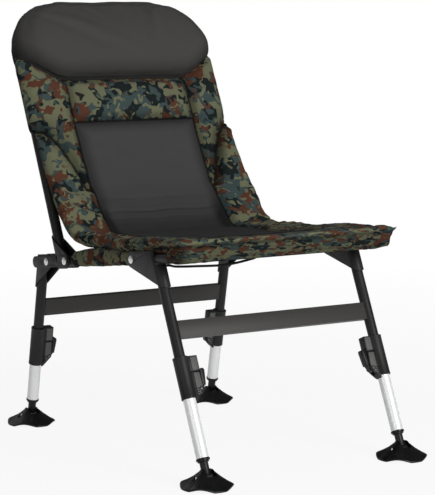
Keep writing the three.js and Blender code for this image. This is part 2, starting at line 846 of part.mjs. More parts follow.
for (const { word, along, reach, pinDistance, drawnShare, slideIn, barShare, facing } of pairs) {
  const pivot = new THREE.Group();
  pivot.position.y = -along;
  seat.add(pivot);
  const lean = new THREE.Group();
  lean.position.y = facing * reach;
  lean.rotation.x = facing * splay;
  pivot.add(lean);

  const tubeEnd = pinDistance - plugDrop;
  const lockTop = (tubeEnd - lockLength) * (1 - drawnShare);
  const upperEnd = tubeEnd - plugSpigotLength - slideIn - slideEndRoom;
  const barDistance = mix(bracketLength, lockTop, barShare);
  const crossTube = (inset) => {
    const thick = barThickness / 2 - inset;
    const half = barHeight / 2 - inset;
    const bottom = -barDistance - half;
    return solid(box(-halfSpacing, halfSpacing, -thick, thick, bottom, bottom + 2 * half));
  };
  const reachIn = halfSpacing - barCope;
  const coped = box(-reachIn, reachIn, -barThickness, barThickness, -pinDistance, 0);
  let crossBar = crossTube(0).subtract(crossTube(barWall)).intersect(solid(coped));
  for (const [side, hand] of [[-1, "left"], [1, "right"]]) {
    const cut = bar("z", railClear, -barDistance - barHeight, -barDistance + barHeight);
    crossBar = crossBar.subtract(solid(cut.translate(side * halfSpacing, 0, 0)));
    const name = (piece) => word + "_" + piece + "_" + hand;

    const cheeks = mesh(name("bracket"), bracket(reach), "frame");
    cheeks.position.x = side * halfSpacing;
    if (facing < 0) cheeks.rotation.x = Math.PI;
    else cheeks.rotation.y = Math.PI;
    pivot.add(cheeks);

    const leg = new THREE.Group();
    leg.position.x = side * halfSpacing;
    leg.rotation.z = side < 0 ? 0 : Math.PI;
    lean.add(leg);
    const upper = straightTube(railRadius, railRadius - frameWall, -upperEnd, -tubeStart);
    leg.add(mesh(name("upper_tube"), upper, "frame"));
    const lowerStart = lockTop + lockThroat + gap;
    const lower = straightTube(lowerRadius, lowerRadius - lowerWall, -tubeEnd, -lowerStart);
    leg.add(mesh(name("lower_tube"), lower, "aluminium"));
    const lock = mesh(name("lock"), lockBody(), "lock");
    lock.position.z = -lockTop;
    leg.add(lock);
    const lever = mesh(name("lever"), camLever(), "plastic");
    lever.position.set(leverPivotReach, 0, -lockTop - leverPivotDrop);
    leg.add(lever);
    const plug = mesh(name("plug"), legPlug(), "plastic");
    plug.position.z = -tubeEnd;
    leg.add(plug);
    const ankle = new THREE.Group();
    ankle.position.z = -pinDistance;
    ankle.rotation.x = side * (facing * splay - seatTilt);
    leg.add(ankle);
    const foot = mesh(name("foot"), mudFoot(), "plastic");
    foot.position.z = -pinHeight;
    ankle.add(foot);
    const pin = bar("x", footPin / 2, -footPinReach, footPinReach, smallSides);
    ankle.add(mesh(name("foot_pin"), pin, "zinc"));
  }
  lean.add(mesh(word + "_cross_bar", geometryOf(crossBar), "bar"));
}

// Backrest: everything is placed up the back tubes and forward of them.
const backPivot = new THREE.Group();
backPivot.position.y = -backPivotSpacing;
seat.add(backPivot);
const back = new THREE.Group();
back.position.y = backAxisReach;
back.rotation.x = -splay;
backPivot.add(back);

// An upright pad faces forward, so its front is the underside of a slab that runs up the back.
const uprightPad = (columns, rows, front, rear) => slab(columns, rows, rear, front);

const onBack = (x, r) => new THREE.Vector3(x, 0, r);
const backPath = uPath(halfSpacing, tubeStart, backFrameTop, backFrameBend, onBack);
back.add(mesh("back_frame_tube", bentTube(backPath, railRadius, railRadius - frameWall), "frame"));
for (const [side, hand] of [[-1, "left"], [1, "right"]]) {
  const cheeks = mesh("back_bracket_" + hand, bracket(backAxisReach), "frame");
  cheeks.position.x = side * halfSpacing;
  backPivot.add(cheeks);
}

// The outline of the headrest: its lower edge droops in the middle, its top has round corners.
const headLower = (x) => {
  const across = Math.max(0, Math.abs(x) - panelHalfWidth) / (halfWidth - panelHalfWidth);
  return mix(headLowerEdge, headSideEdge, across ** 1.5);
};
const headUpper = (x) => {
  const across = Math.max(0, Math.abs(x) - (halfWidth - headCorner));
  return headTop - headCorner + Math.sqrt(headCorner ** 2 - across ** 2);
};
const tubeTunnel = solid(bentTube(backPath, railClear, 0));

const spread = (u) => halfWidth * Math.sin((u - 0.5) * Math.PI);
const headPlace = (u, v, n) => {
  const x = spread(u);
  return [x, -n, mix(headLower(x), headUpper(x), v)];
};
const rimFall = (u) => 1 - Math.abs(2 * u - 1) ** 8;
const headPad = uprightPad(
  12,
  7,
  (u, v) => {
    const full = rimFall(u) * (1 - v ** 6);
    const hang = mix(bandFront, headFront, Math.sin(Math.PI * Math.min(1, v + 0.25)) ** 0.5);
    return headPlace(u, v, mix(sideRim, hang, full));
  },
  (u, v) => headPlace(u, v, -mix(sideRim, pocketDepth, rimFall(u) * (1 - v ** 12))),
);
back.add(mesh("headrest_pillow", geometryOf(solid(headPad).subtract(tubeTunnel)), "cloth"));

// Camouflage band under the headrest, and the plain panel under the band.
function middlePad(low, high, frontAt, thickness, crown, rows) {
  const half = panelHalfWidth;
  return uprightPad(
    8,
    rows,
    (u, v) => {
      const r = mix(low, high, v);
      return [mix(-half, half, u), -frontAt(r) + crown - crown * 2 * swell(u, v), r];
    },
    (u, v) => {
      const r = mix(low, high, v);
      return [mix(-half, half, u), -frontAt(r) + thickness, r];
    },
  );
}
const lowShare = (r) => Math.max(0, wingNotch - r) / (wingNotch - backPadLowerEdge);
const panelLine = (r) => mix(panelFront, panelFrontLow, lowShare(r) ** 1.5);
const bandPad = middlePad(
  bandLowerEdge,
  headLowerEdge - padSeam,
  () => bandFront,
  panelThickness,
  padCrown / 2,
  6,
);
back.add(mesh("back_band", bandPad, "camouflage"));
const centrePad = middlePad(
  backPadLowerEdge,
  bandLowerEdge - padSeam,
  panelLine,
  panelThickness,
  padCrown / 3,
  6,
);
back.add(mesh("back_panel", centrePad, "cloth"));

// Seam between the upper wing and the side panel below it, from the middle panel to the outer edge.
const seamShares = [
  [0, 0],
  [0.12, 0.02],
  [0.3, 0.38],
  [0.55, 0.75],
  [0.8, 0.95],
  [1, 1],
];
const wingInner = panelHalfWidth + padSeam;
const seamPoint = ([across, up]) =>
  new THREE.Vector2(mix(wingInner, halfWidth, across), mix(backPadLowerEdge, wingNotch, up));
const seamLine = new THREE.SplineCurve(seamShares.map(seamPoint));
const seamAt = (x) => heightAt(seamLine, x);

for (const [side, hand] of [[-1, "left"], [1, "right"]]) {
  // Upper wing: it holds the back tube in a tunnel and thins to the outer edge.
  const wingPlace = (u, v, n) => {
    const x = mix(wingInner, halfWidth, side < 0 ? 1 - u : u);
    return [side * x, -n, mix(seamAt(x) + padSeam, headLower(x) - padSeam, v)];
  };
  const outward = (u) => (side < 0 ? 1 - u : u);
  const wing = uprightPad(
    8,
    9,
    (u, v) => {
      const edge = outward(u);
      const r = wingPlace(u, v, 0)[2];
      const front = mix(mix(panelLine(r), bandFront, 0.5), sideRim, edge ** 6);
      return wingPlace(u, v, front + padCrown * swell(u, v));
    },
    (u, v) => {
      const edge = outward(u);
      const r = wingPlace(u, v, 0)[2];
      const inner = panelLine(r) - panelThickness;
      const wrap = Math.min(1, Math.max(0, edge - 0.5) * 5) * (edge === 1 ? sideRim / pocketDepth : 1);
      return wingPlace(u, v, mix(inner, -pocketDepth, wrap));
    },
  );
  back.add(mesh("back_wing_" + hand, geometryOf(solid(wing).subtract(tubeTunnel)), "camouflage"));

  // Side panel under the wing: it lies in front of the tube and comes forward to the bend.
  const sideInner = mix(wingInner, halfWidth, 0.16);
  const sidePlace = (u, v, n) => {
    const x = mix(sideInner, halfWidth, outward(u));
    return [side * x, -n, mix(backPadLowerEdge, seamAt(x) - padSeam, v)];
  };
  const sidePad = uprightPad(
    6,
    7,
    (u, v) => {
      const r = sidePlace(u, v, 0)[2];
      const low = lowShare(r);
      const edge = outward(u);
      const highFront = mix(panelFront, sideRim + railClear, edge);
      const lowFront = mix(panelFrontLow, sidePadFrontLow, edge);
      return sidePlace(u, v, mix(highFront, lowFront, low) + padCrown * swell(u, v));
    },
    (u, v) => {
      const r = sidePlace(u, v, 0)[2];
      const low = lowShare(r) ** 2;
      const edge = outward(u);
      const innerLow = panelFrontLow - panelThickness;
      return sidePlace(u, v, mix(railClear + gap, mix(innerLow, sidePadBackLow, edge), low));
    },
  );
  back.add(mesh("back_side_pad_" + hand, sidePad, "camouflage"));
}

export default chair;
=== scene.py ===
from math import atan2, cos, hypot, pi, radians, sin

import bmesh
import bpy
from mathutils import Matrix, Vector, noise


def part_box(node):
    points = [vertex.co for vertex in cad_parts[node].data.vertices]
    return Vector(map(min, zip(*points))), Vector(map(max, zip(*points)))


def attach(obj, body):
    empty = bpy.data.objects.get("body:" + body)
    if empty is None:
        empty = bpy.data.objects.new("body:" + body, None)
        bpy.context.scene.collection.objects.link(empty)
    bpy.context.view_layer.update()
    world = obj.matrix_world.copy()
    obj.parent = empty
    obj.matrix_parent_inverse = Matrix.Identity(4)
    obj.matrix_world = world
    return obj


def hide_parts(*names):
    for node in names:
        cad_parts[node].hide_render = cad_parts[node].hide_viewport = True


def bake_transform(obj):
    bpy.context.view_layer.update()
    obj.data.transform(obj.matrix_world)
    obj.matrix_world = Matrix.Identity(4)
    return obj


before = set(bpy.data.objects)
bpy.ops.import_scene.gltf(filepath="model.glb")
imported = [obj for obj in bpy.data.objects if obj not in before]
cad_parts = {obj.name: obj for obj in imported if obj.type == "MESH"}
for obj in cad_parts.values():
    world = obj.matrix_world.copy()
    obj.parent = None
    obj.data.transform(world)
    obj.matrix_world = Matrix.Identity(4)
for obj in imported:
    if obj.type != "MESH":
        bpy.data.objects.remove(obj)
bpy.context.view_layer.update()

# --- Camera ---------------------------------------------------------------
# A long lens a little above the seat, turned a third of a right angle to the chair's left, as the
# photograph was taken.
camera_data = bpy.data.cameras.new("photo_camera")
camera_data.lens = 147.5
camera_data.clip_end = 60
camera = bpy.data.objects.new("photo_camera", camera_data)
camera.location = (-2.2833, -3.5826, 0.9182)
camera.rotation_euler = (radians(83.166), 0, radians(-32.916))
bpy.context.collection.objects.link(camera)
bpy.context.scene.camera = camera

# --- Tie cord ----------------------------------------------------------------
# Elastic cord with a woven black cover, knotted to the left rail and the platform. It hangs in a
# shallow bow under the front of the seat. Places are across the chair, along the rail and above it.
TILT = radians(6.7)
RAIL_PLACE = Matrix.Translation((0, 0.229, 0.3719)) @ Matrix.Rotation(-TILT, 4, "X")
CORD_DIAMETER = 0.005
CORD_ROUTE = [
    (-234, 462, -13.8), (-225, 462, -14.2), (-214, 462, -17), (-190, 462, -18.8),
    (-167, 461, -19.8), (-115, 461, -22), (-80, 461, -21), (-37, 461, -15.2),
    (-22, 461, -12), (-9, 461, -4.5), (-2, 461, 3), (-2, 461, 7), (-2, 461, 10.7),
]


def on_rail(x, s, h):
    """A place by its distance across the chair, along the rail and above it, in millimetres."""
    return RAIL_PLACE @ Vector((x / 1000, -s / 1000, h / 1000))


def linear(hex_colour):
    """An sRGB colour such as 3f3f40 as linear red, green, blue and alpha."""
    parts = [int(hex_colour[i : i + 2], 16) / 255 for i in (0, 2, 4)]
    return [c / 12.92 if c <= 0.04045 else ((c + 0.055) / 1.055) ** 2.4 for c in parts] + [1.0]


def put(material, kind, inputs=None, **settings):
    """Adds a shader node to a material with its settings, values and links."""
    node = material.node_tree.nodes.new("ShaderNode" + kind)
    for name, value in settings.items():
        setattr(node, name, value)
    for name, value in (inputs or {}).items():
        if isinstance(value, bpy.types.NodeSocket):
            material.node_tree.links.new(value, node.inputs[name])
        else:
            node.inputs[name].default_value = value
    return node


def join(material, output, socket):
    """Links two sockets of a material."""
    material.node_tree.links.new(output, socket)


def finish_named(name, colour, roughness, metallic=0.0, shine=0.25):
    """A new material and its surface shader."""
    material = bpy.data.materials.new(name)
    material.use_nodes = True
    surface = material.node_tree.nodes["Principled BSDF"]
    surface.inputs["Base Color"].default_value = linear(colour)
    surface.inputs["Roughness"].default_value = roughness
    surface.inputs["Metallic"].default_value = metallic
    surface.inputs["Specular IOR Level"].default_value = shine
    return material, surface


def noise_at(material, place, scale, detail):
    """A noise with as many spots per metre as its scale."""
    return put(material, "TexNoise", {"Vector": place, "Scale": scale, "Detail": detail})


def object_place(material):
    """The place on the piece, in metres, that its patterns are drawn by."""
    return put(material, "TexCoord").outputs["Object"]


def spread(material, value, low, high, bottom=0.0, top=1.0):
    """Runs from bottom to top while a value runs from low to high."""
    return put(material, "MapRange", {"Value": value, "From Min": low, "From Max": high, "To Min": bottom,
                                      "To Max": top}).outputs[0]


def between(material, share, first, second):
    """A share of the way from one colour to another."""
    return put(material, "Mix", {0: share, 6: first, 7: second}, data_type="RGBA").outputs[2]


def calculated(material, operation, first, second):
    """The larger of two values, their product or such."""
    return put(material, "Math", {0: first, 1: second}, operation=operation).outputs[0]


def stood(name, data):
    """A new object in the scene, at the origin."""
    thing = bpy.data.objects.new(name, data)
    bpy.context.collection.objects.link(thing)
    return thing


def relief_on(material, surface, height, strength, distance):
    """Raises the surface by a pattern, up to a distance in metres."""
    bump = put(material, "Bump", {"Height": height, "Strength": strength, "Distance": distance})
    join(material, bump.outputs["Normal"], surface.inputs["Normal"])


def grained(material, surface, scale, strength, distance, detail=1.0):
    """Gives a finish an even grain, and returns the place that it is drawn by."""
    place = object_place(material)
    relief_on(material, surface, noise_at(material, place, scale, detail).outputs["Fac"], strength, distance)
    return place


def uneven_gloss(material, surface, pattern, low, high):
    """Lets the roughness follow a noise between two values."""
    join(material, spread(material, pattern.outputs["Fac"], 0.3, 0.7, low, high), surface.inputs["Roughness"])


def piece_from(name, mesh, material, body, nodes=()):
    """A finished piece at the origin, on its body, with its finish and the solids it stands for."""
    piece = stood(name, mesh)
    if not mesh.materials:
        mesh.materials.append(material)
    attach(piece, body)
    if nodes:
        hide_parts(*nodes)
    return piece


def cord_mesh(name, route, radius):
    """A round cord along the points of a route."""
    curve = bpy.data.curves.new(name, "CURVE")
    curve.dimensions = "3D"
    curve.bevel_depth = radius
    curve.bevel_resolution = 3
    curve.use_fill_caps = True
    spline = curve.splines.new("POLY")
    spline.points.add(len(route) - 1)
    for point, place in zip(spline.points, route):
        point.co = (*place, 1)
    holder = bpy.data.objects.new(name, curve)
    mesh = bpy.data.meshes.new_from_object(holder)
    bpy.data.objects.remove(holder)
    mesh.shade_smooth()
    return mesh


def smooth_route(points, steps):
    """Points on a smooth line through the given ones, with as many steps between each two."""
    line = []
    ends = [points[0] * 2 - points[1]] + list(points) + [points[-1] * 2 - points[-2]]
    for a, b, c, d in zip(ends, ends[1:], ends[2:], ends[3:]):
        for i in range(steps):
            t = i / steps
            line.append(
                0.5 * ((2 * b) + (c - a) * t + (2 * a - 5 * b + 4 * c - d) * t * t
                       + (3 * b - a - 3 * c + d) * t ** 3)
            )
    return line + [points[-1]]


# Braided polyester cover on rubber: matt black, with the plaits drawn at 1.5 mm so that they show.
braid, braid_surface = finish_named("braided_elastic", "1b1b1b", 0.85)
plait = put(braid, "TexWave", {"Vector": object_place(braid), "Scale": 330.0}, wave_type="BANDS",
            bands_direction="DIAGONAL")
relief_on(braid, braid_surface, plait.outputs["Color"], 0.4, 0.0004)

cord_line = smooth_route([on_rail(*p) for p in CORD_ROUTE], 4)
tie_cord = piece_from("tie_cord_elastic", cord_mesh("tie_cord_elastic", cord_line, CORD_DIAMETER / 2), braid,
                      "seat", ["tie_cord"])

# --- Studio: floor, light and white background ---------------------------------
# A large pale floor that keeps the chair's shadow, and soft light from large lamps. The white is
# given to what the camera and the reflections see, not to the light on the chair.
WHITE = (1, 1, 1, 1)
SKY_LIGHT = 0.11
LAMP_AIM = Vector((0, 0, 0.45))

floor_shape = bmesh.new()
bmesh.ops.create_grid(floor_shape, x_segments=1, y_segments=1, size=30)
floor_mesh = bpy.data.meshes.new("studio_floor")
floor_shape.to_mesh(floor_mesh)
floor_shape.free()
floor = stood("studio_floor", floor_mesh)
paper, paper_surface = finish_named("white_studio_paper", "f4f4f4", 0.9)
rays = put(paper, "LightPath")
seen = calculated(paper, "MAXIMUM", rays.outputs["Is Camera Ray"], rays.outputs["Is Glossy Ray"])
seen = calculated(paper, "MAXIMUM", seen, rays.outputs["Is Transmission Ray"])
white = put(paper, "Emission", {"Color": WHITE, "Strength": 1.0})
# Near the chair the paper keeps a tenth of its shadow; further off it turns plain white.
away = put(paper, "VectorMath", {0: object_place(paper)}, operation="LENGTH")
share = calculated(paper, "MULTIPLY", seen, spread(paper, away.outputs["Value"], 0.6, 3.0, 0.9, 1.0))
shown = put(paper, "MixShader", {0: share, 1: paper_surface.outputs[0], 2: white.outputs[0]})
join(paper, shown.outputs[0], paper.node_tree.nodes["Material Output"].inputs["Surface"])
floor_mesh.materials.append(paper)

world = bpy.data.worlds.new("studio")
bpy.context.scene.world = world
world.use_nodes = True
background = world.node_tree.nodes["Background"]
background.inputs["Color"].default_value = WHITE
background.inputs["Strength"].default_value = SKY_LIGHT
rays = put(world, "LightPath")
bright = put(world, "Background", {"Color": WHITE, "Strength": 1.0})
seen = calculated(world, "MAXIMUM", rays.outputs["Is Camera Ray"], rays.outputs["Is Transmission Ray"])
pick = put(world, "MixShader", {0: seen, 1: background.outputs[0], 2: bright.outputs[0]})
join(world, pick.outputs[0], world.node_tree.nodes["World Output"].inputs["Surface"])

for lamp_name, spot, size, watts in (
    ("key_lamp", (0.7, -4.4, 1.9), 1.8, 160),
    ("fill_lamp", (-3.9, -2.2, 1.3), 2.0, 34),
    ("top_lamp", (0.2, 0.6, 3.8), 2.2, 4),
    ("rear_lamp", (-1.2, 3.6, 2.4), 2.4, 12),
):
    lamp_data = bpy.data.lights.new(lamp_name, "AREA")
    lamp_data.size = size
    lamp_data.energy = watts
    lamp = stood(lamp_name, lamp_data)
    lamp.location = spot
    lamp.rotation_euler = (LAMP_AIM - Vector(spot)).to_track_quat("-Z", "Y").to_euler()

bpy.context.scene.view_settings.view_transform = "Standard"

# --- Steel frame tubes --------------------------------------------------------
# 22 mm welded steel tube, bent cold into the seat and backrest hoops and cut straight for the legs.
# Powder coated matt black, which leaves a fine even grain.
SIDES = ((-1, "left"), (1, "right"))
TUBE = 0.022
TUBE_WALL = 0.0015
TUBE_START = 0.0153        # how far from the rail's centre line the tubes that cross it begin
HALF_SPACING = 0.2355
SPLAY = radians(17.4)
BACK_CROSSING = 46.5
BACK_HOOP_END = 0.582
BACK_HOOP_BEND = 0.115

powder, powder_surface = finish_named("powder_coated_steel", "1d1d1d", 0.5)
# Coating grain of 0.6 mm and a slow unevenness of 40 mm.
place = grained(powder, powder_surface, 1600.0, 0.25, 0.0002)
uneven_gloss(powder, powder_surface, noise_at(powder, place, 25.0, 2.0), 0.42, 0.56)


def as_mesh(name, shape, matrix=None, flat_above=35):
    """A bmesh as a named mesh, smooth over shallow edges and crisp over steep ones."""
    if matrix is not None:
        bmesh.ops.transform(shape, matrix=matrix, verts=shape.verts)
    bmesh.ops.remove_doubles(shape, verts=shape.verts, dist=1e-5)
    bmesh.ops.recalc_face_normals(shape, faces=shape.faces)
    for edge in shape.edges:
        edge.smooth = len(edge.link_faces) != 2 or edge.calc_face_angle(0) < radians(flat_above)
    mesh = bpy.data.meshes.new(name)
    shape.to_mesh(mesh)
    shape.free()
    mesh.polygons.foreach_set("use_smooth", [True] * len(mesh.polygons))
    return mesh


def leaned(crossing, splay):
    """The frame of a tube that crosses the rail there: its Z runs up the tube."""
    return RAIL_PLACE @ Matrix.Translation((0, -crossing / 1000, 0)) @ Matrix.Rotation(splay, 4, "X")


def ring_edges(shape, radius, matrix, segments):
    """A ring's edges, each named once."""
    ring = bmesh.ops.create_circle(shape, segments=segments, radius=radius, matrix=matrix)["verts"]
    return list(dict.fromkeys(e for v in ring for e in v.link_edges))


def straight_tube(shape, x, low, high, outer, wall, segments=40):
    """A tube along Z with a real bore."""
    rings = [ring_edges(shape, radius, Matrix.Translation((x, 0, z)), segments)
             for radius, z in ((outer - wall, low), (outer, low), (outer, high), (outer - wall, high))]
    for a, b in zip(rings, rings[1:] + rings[:1]):
        bmesh.ops.bridge_loops(shape, edges=a + b)


def hoop_tube(name, start, end, bend, flat):
    """A U-shaped tube: two straight legs, two bends and the straight between them."""
    shape = bmesh.new()
    along = Vector((0, -1, 0)) if flat else Vector((0, 0, 1))
    turn = Matrix.Rotation(radians(90), 4, "X") if flat else Matrix.Identity(4)

    def pull(edges, offset):
        grown = bmesh.ops.extrude_edge_only(shape, edges=edges)["geom"]
        bmesh.ops.translate(shape, vec=offset, verts=[g for g in grown if isinstance(g, bmesh.types.BMVert)])
        return [g for g in grown if isinstance(g, bmesh.types.BMEdge)]

    def swing(edges, centre):
        grown = bmesh.ops.spin(shape, geom=edges, cent=centre, axis=Vector((1, 0, 0)).cross(along),
                               angle=-pi / 2, steps=14)["geom_last"]
        return [g for g in grown if isinstance(g, bmesh.types.BMEdge)]

    for radius in (TUBE / 2, TUBE / 2 - TUBE_WALL):
        foot = Matrix.Translation(Vector((-HALF_SPACING, 0, 0)) + along * start)
        edges = ring_edges(shape, radius, foot @ turn, 32)
        edges = pull(edges, along * (end - bend - start))
        edges = swing(edges, Vector((-HALF_SPACING + bend, 0, 0)) + along * (end - bend))
        edges = pull(edges, Vector((2 * (HALF_SPACING - bend), 0, 0)))
        edges = swing(edges, Vector((HALF_SPACING - bend, 0, 0)) + along * (end - bend))
        pull(edges, along * (start + bend - end))
    open_edges = [e for e in shape.edges if e.is_boundary]
    for side, _ in SIDES:
        bmesh.ops.bridge_loops(shape, edges=[e for e in open_edges if e.verts[0].co.x * side > 0])
    return as_mesh(name, shape, RAIL_PLACE if flat else leaned(BACK_CROSSING, -SPLAY))


seat_hoop = hoop_tube("seat_hoop_tube", start=-0.056, end=0.528, bend=0.060, flat=True)
piece_from("seat_hoop_tube", seat_hoop, powder, "seat", ["seat_frame_tube"])
back_hoop = hoop_tube("backrest_hoop_tube", start=TUBE_START, end=BACK_HOOP_END, bend=BACK_HOOP_BEND,
                      flat=False)
piece_from("backrest_hoop_tube", back_hoop, powder, "backrest", ["back_frame_tube"])

# Each pair of legs: where it crosses the rail, its splay, and the distances from there down the leg
# to the lower tube's end and to the lock's top.
LEGS = {}
LOCK_LENGTH = 0.084
PIN_HEIGHT = 0.0204
EYE_DROP = 0.037
for pair, crossing, splay, drawn_share, overlap in (("front", 434.0, -SPLAY, 0.366, 0.061),
                                                    ("rear", -43.0, SPLAY, 0.350, 0.052)):
    rail_height = (RAIL_PLACE @ Vector((0, -crossing / 1000, 0))).z
    tube_end = (rail_height - PIN_HEIGHT) / cos(splay - TILT) - EYE_DROP
    LEGS[pair] = (crossing, splay, tube_end, (tube_end - LOCK_LENGTH) * (1 - drawn_share))
    for side, hand in SIDES:
        # The steel tube ends inside the lower tube, this much above its end.
        shape = bmesh.new()
        straight_tube(shape, side * HALF_SPACING, overlap - tube_end, -TUBE_START, TUBE / 2, TUBE_WALL)
        name = f"{pair}_leg_tube_{hand}"
        piece_from(name, as_mesh(name, shape, leaned(crossing, splay)), powder, f"{pair}_frame",
                   [f"{pair}_upper_tube_{hand}"])

# --- Brackets and rail ends -----------------------------------------------------
# 3 mm steel sheet, punched and folded round the tubes, with the same black coating. The punched
# edges are slightly rounded.
STEEP = radians(38)
PUNCHED_EDGE = 0.0006
SHORTEST_EDGE = 0.002


def rounded(shape, rounding, shortest=0.0):
    """Rounds the steep edges of a shape, leaving out the shortest."""
    crisp = [e for e in shape.edges if len(e.link_faces) == 2 and e.calc_face_angle(0) > STEEP
             and e.calc_length() >= shortest]
    bmesh.ops.bevel(shape, geom=crisp, offset=rounding, segments=2, affect="EDGES", profile=0.5,
                    material=-1, clamp_overlap=True)


def softened(name, node, body, material, rounding=PUNCHED_EDGE):
    """The CAD solid's own shape with its sharp edges rounded."""
    shape = bmesh.new()
    shape.from_mesh(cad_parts[node].data)
    bmesh.ops.remove_doubles(shape, verts=shape.verts, dist=1e-5)
    bmesh.ops.dissolve_limit(shape, angle_limit=radians(1), verts=shape.verts, edges=shape.edges)
    rounded(shape, rounding, SHORTEST_EDGE)
    return piece_from(name, as_mesh(name, shape, flat_above=38), material, body, [node])


for side, hand in SIDES:
    softened(f"rail_end_channel_{hand}", f"rail_end_{hand}", "seat", powder)
    softened(f"front_leg_bracket_{hand}", f"front_bracket_{hand}", "front_frame", powder)
    softened(f"rear_leg_bracket_{hand}", f"rear_bracket_{hand}", "rear_frame", powder)
    softened(f"backrest_bracket_{hand}", f"back_bracket_{hand}", "backrest", powder)

# --- Cross bars ---------------------------------------------------------------
# Flat steel tube, 36 by 12 mm, coped round the legs and welded, in the same coating. Its colour is
# painted a shade lighter than the round tube's: painted light on its flat face, which is turned to the light.
BAR_EDGE = 0.0012
bar_coat, bar_surface = finish_named("powder_coated_flat_tube", "3b3a38", 0.5)
grained(bar_coat, bar_surface, 1600.0, 0.2, 0.0002)
softened("front_flat_bar", "front_cross_bar", "front_frame", bar_coat, BAR_EDGE)
softened("rear_flat_bar", "rear_cross_bar", "rear_frame", bar_coat, BAR_EDGE)

# --- Rivets ---------------------------------------------------------------------
# Zinc-plated steel rivets with low domed heads, a little hollow at the centre from the riveting
# punch. The plating has a fine spangle of 2 mm.
HEAD_HEIGHT = 0.0024
RIVET_HEAD = [(0.0004, -1.9), (1.6, -1.9), (2.0, -2.4), (6.2, -2.1), (8.0, -1.1), (8.25, 0.0), (4.0, 0.0)]
zinc, zinc_surface = finish_named("zinc_plated_steel", "e2e2e0", 0.35, 0.6)
grained(zinc, zinc_surface, 500.0, 0.1, 0.0002, detail=2.0)


def turned(shape, outline, steps=48, axis="Z"):
    """A body of revolution from radii and heights in millimetres."""
    up = Matrix.Identity(4) if axis == "Z" else Matrix.Rotation(pi / 2, 4, axis)
    line = [shape.verts.new(up @ Vector((r / 1000, 0, z / 1000))) for r, z in outline]
    edges = [shape.edges.new(ends) for ends in zip(line, line[1:])]
    bmesh.ops.spin(shape, geom=line + edges, cent=(0, 0, 0), axis=up @ Vector((0, 0, 1)), angle=2 * pi,
                   steps=steps, use_merge=True)


for joined, along in (("rear", 0), ("back", 80.5), ("front", 355.5)):
    for side, hand in SIDES:
        node = f"rivet_{joined}_{hand}"
        low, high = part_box(node)
        shank = 1000 * ((high.x - low.x) / 2 - HEAD_HEIGHT)
        heads = [(r, z - shank) for r, z in RIVET_HEAD] + [(r, shank - z) for r, z in reversed(RIVET_HEAD)]
        shape = bmesh.new()
        turned(shape, heads, 32)
        spot = Matrix.Translation(on_rail(side * HALF_SPACING * 1000, along, 0))
        name = f"{joined}_rivet_{hand}"
        piece_from(name, as_mesh(name, shape, spot @ Matrix.Rotation(pi / 2, 4, "Y")), zinc, "seat",
                   [node])

# --- Lower leg tubes --------------------------------------------------------------
# 25 mm drawn aluminium tube, anodised clear over fine lengthwise draw lines, 0.5 mm apart and 90 mm
# long. It slides over the steel tube, and its upper end is inside the lock.
LOWER_TUBE = 0.025
LOWER_WALL = 0.0011
LOCK_THROAT = 0.0243
anodised, anodised_surface = finish_named("clear_anodised_aluminium", "f2f3f3", 0.52, 0.25)
lines = put(anodised, "Mapping", {"Vector": object_place(anodised), "Scale": (2000, 2000, 11)})
drawn = noise_at(anodised, lines.outputs[0], 1.0, 2.0)
uneven_gloss(anodised, anodised_surface, drawn, 0.36, 0.48)
relief_on(anodised, anodised_surface, drawn.outputs["Fac"], 0.05, 0.0001)


def each_leg():
    """The four legs by their pair, side and hand."""
    return [(pair, side, hand) for pair in LEGS for side, hand in SIDES]


def leg_piece(pair, hand, kind, shape, place, material, body, node=None):
    """A piece of one leg from its bmesh, which is shaped at the origin."""
    name = f"{pair}_{kind}_{hand}"
    nodes = [f"{pair}_{node}_{hand}"] if node else []
    return piece_from(name, as_mesh(name, shape, place), material, f"{pair}_{body}_{hand}", nodes)


def leg_place(pair, side, down=0.0):
    """The frame of one leg: Z runs up it, X points to the other leg of the pair."""
    crossing, splay = LEGS[pair][:2]
    spot = Matrix.Translation((side * HALF_SPACING, 0, -down))
    return leaned(crossing, splay) @ spot @ Matrix.Rotation(0 if side < 0 else pi, 4, "Z")


for pair, side, hand in each_leg():
    tube_end, lock_top = LEGS[pair][2:]
    shape = bmesh.new()
    straight_tube(shape, 0, -tube_end, -lock_top - LOCK_THROAT, LOWER_TUBE / 2, LOWER_WALL, 56)
    leg_piece(pair, hand, "lower_leg_tube", shape, leg_place(pair, side), anodised, "lower_leg",
              "lower_tube")

# --- Cam locks ----------------------------------------------------------------------
# Moulded nylon sleeves round both tubes, with a clamp block and a fork for the cam lever on the
# inner side. A groove parts the block; the fork's cheeks carry grip ribs and the lever's pin.
BLOCK_HALF = 9.0           # places across the leg, in millimetres
CHEEK_INSIDE = 6.0
PANEL_FACE = 9.6
RIB_FACE = 10.6
CLAMP_BLOCK = [(11.9, 0), (33, 0), (33, -31), (11.9, -31)]
FORK_ROOT = [(11.9, -32.2), (31.8, -32.2), (33, -60), (19.2, -59), (19.2, -82), (14.5, -87), (11.9, -89.5)]
FORK_CHEEK = [(18, -58), (33, -58), (33, -67), (27, -74.5), (15, -87), (18, -80)]
RAISED_PANELS = (
    [(17, -2.4), (31, -2.4), (31, -28.8), (17, -28.8)],
    [(17, -34.4), (29.8, -34.4), (31, -60), (31, -66), (25.6, -72.6), (18, -80.6), (17, -80.6)],
)
# The sleeve has a lip at its mouth and a thinner skirt over the aluminium tube.
SLEEVE = [(11.35, 0.5), (14.2, 0.5), (15.4, -0.4), (15.4, -3.2), (15, -4), (15, -80), (15.3, -81),
          (15.3, -83.2), (14.6, -84), (12.8, -84), (12.8, -24), (11.35, -24), (11.35, 0.5)]
LOCK_PIVOT = (0.027, 0.067)

nylon, nylon_surface = finish_named("moulded_dark_nylon", "1d1d1d", 0.5)
block_nylon, block_surface = finish_named("moulded_grey_nylon", "5b5b59", 0.55)
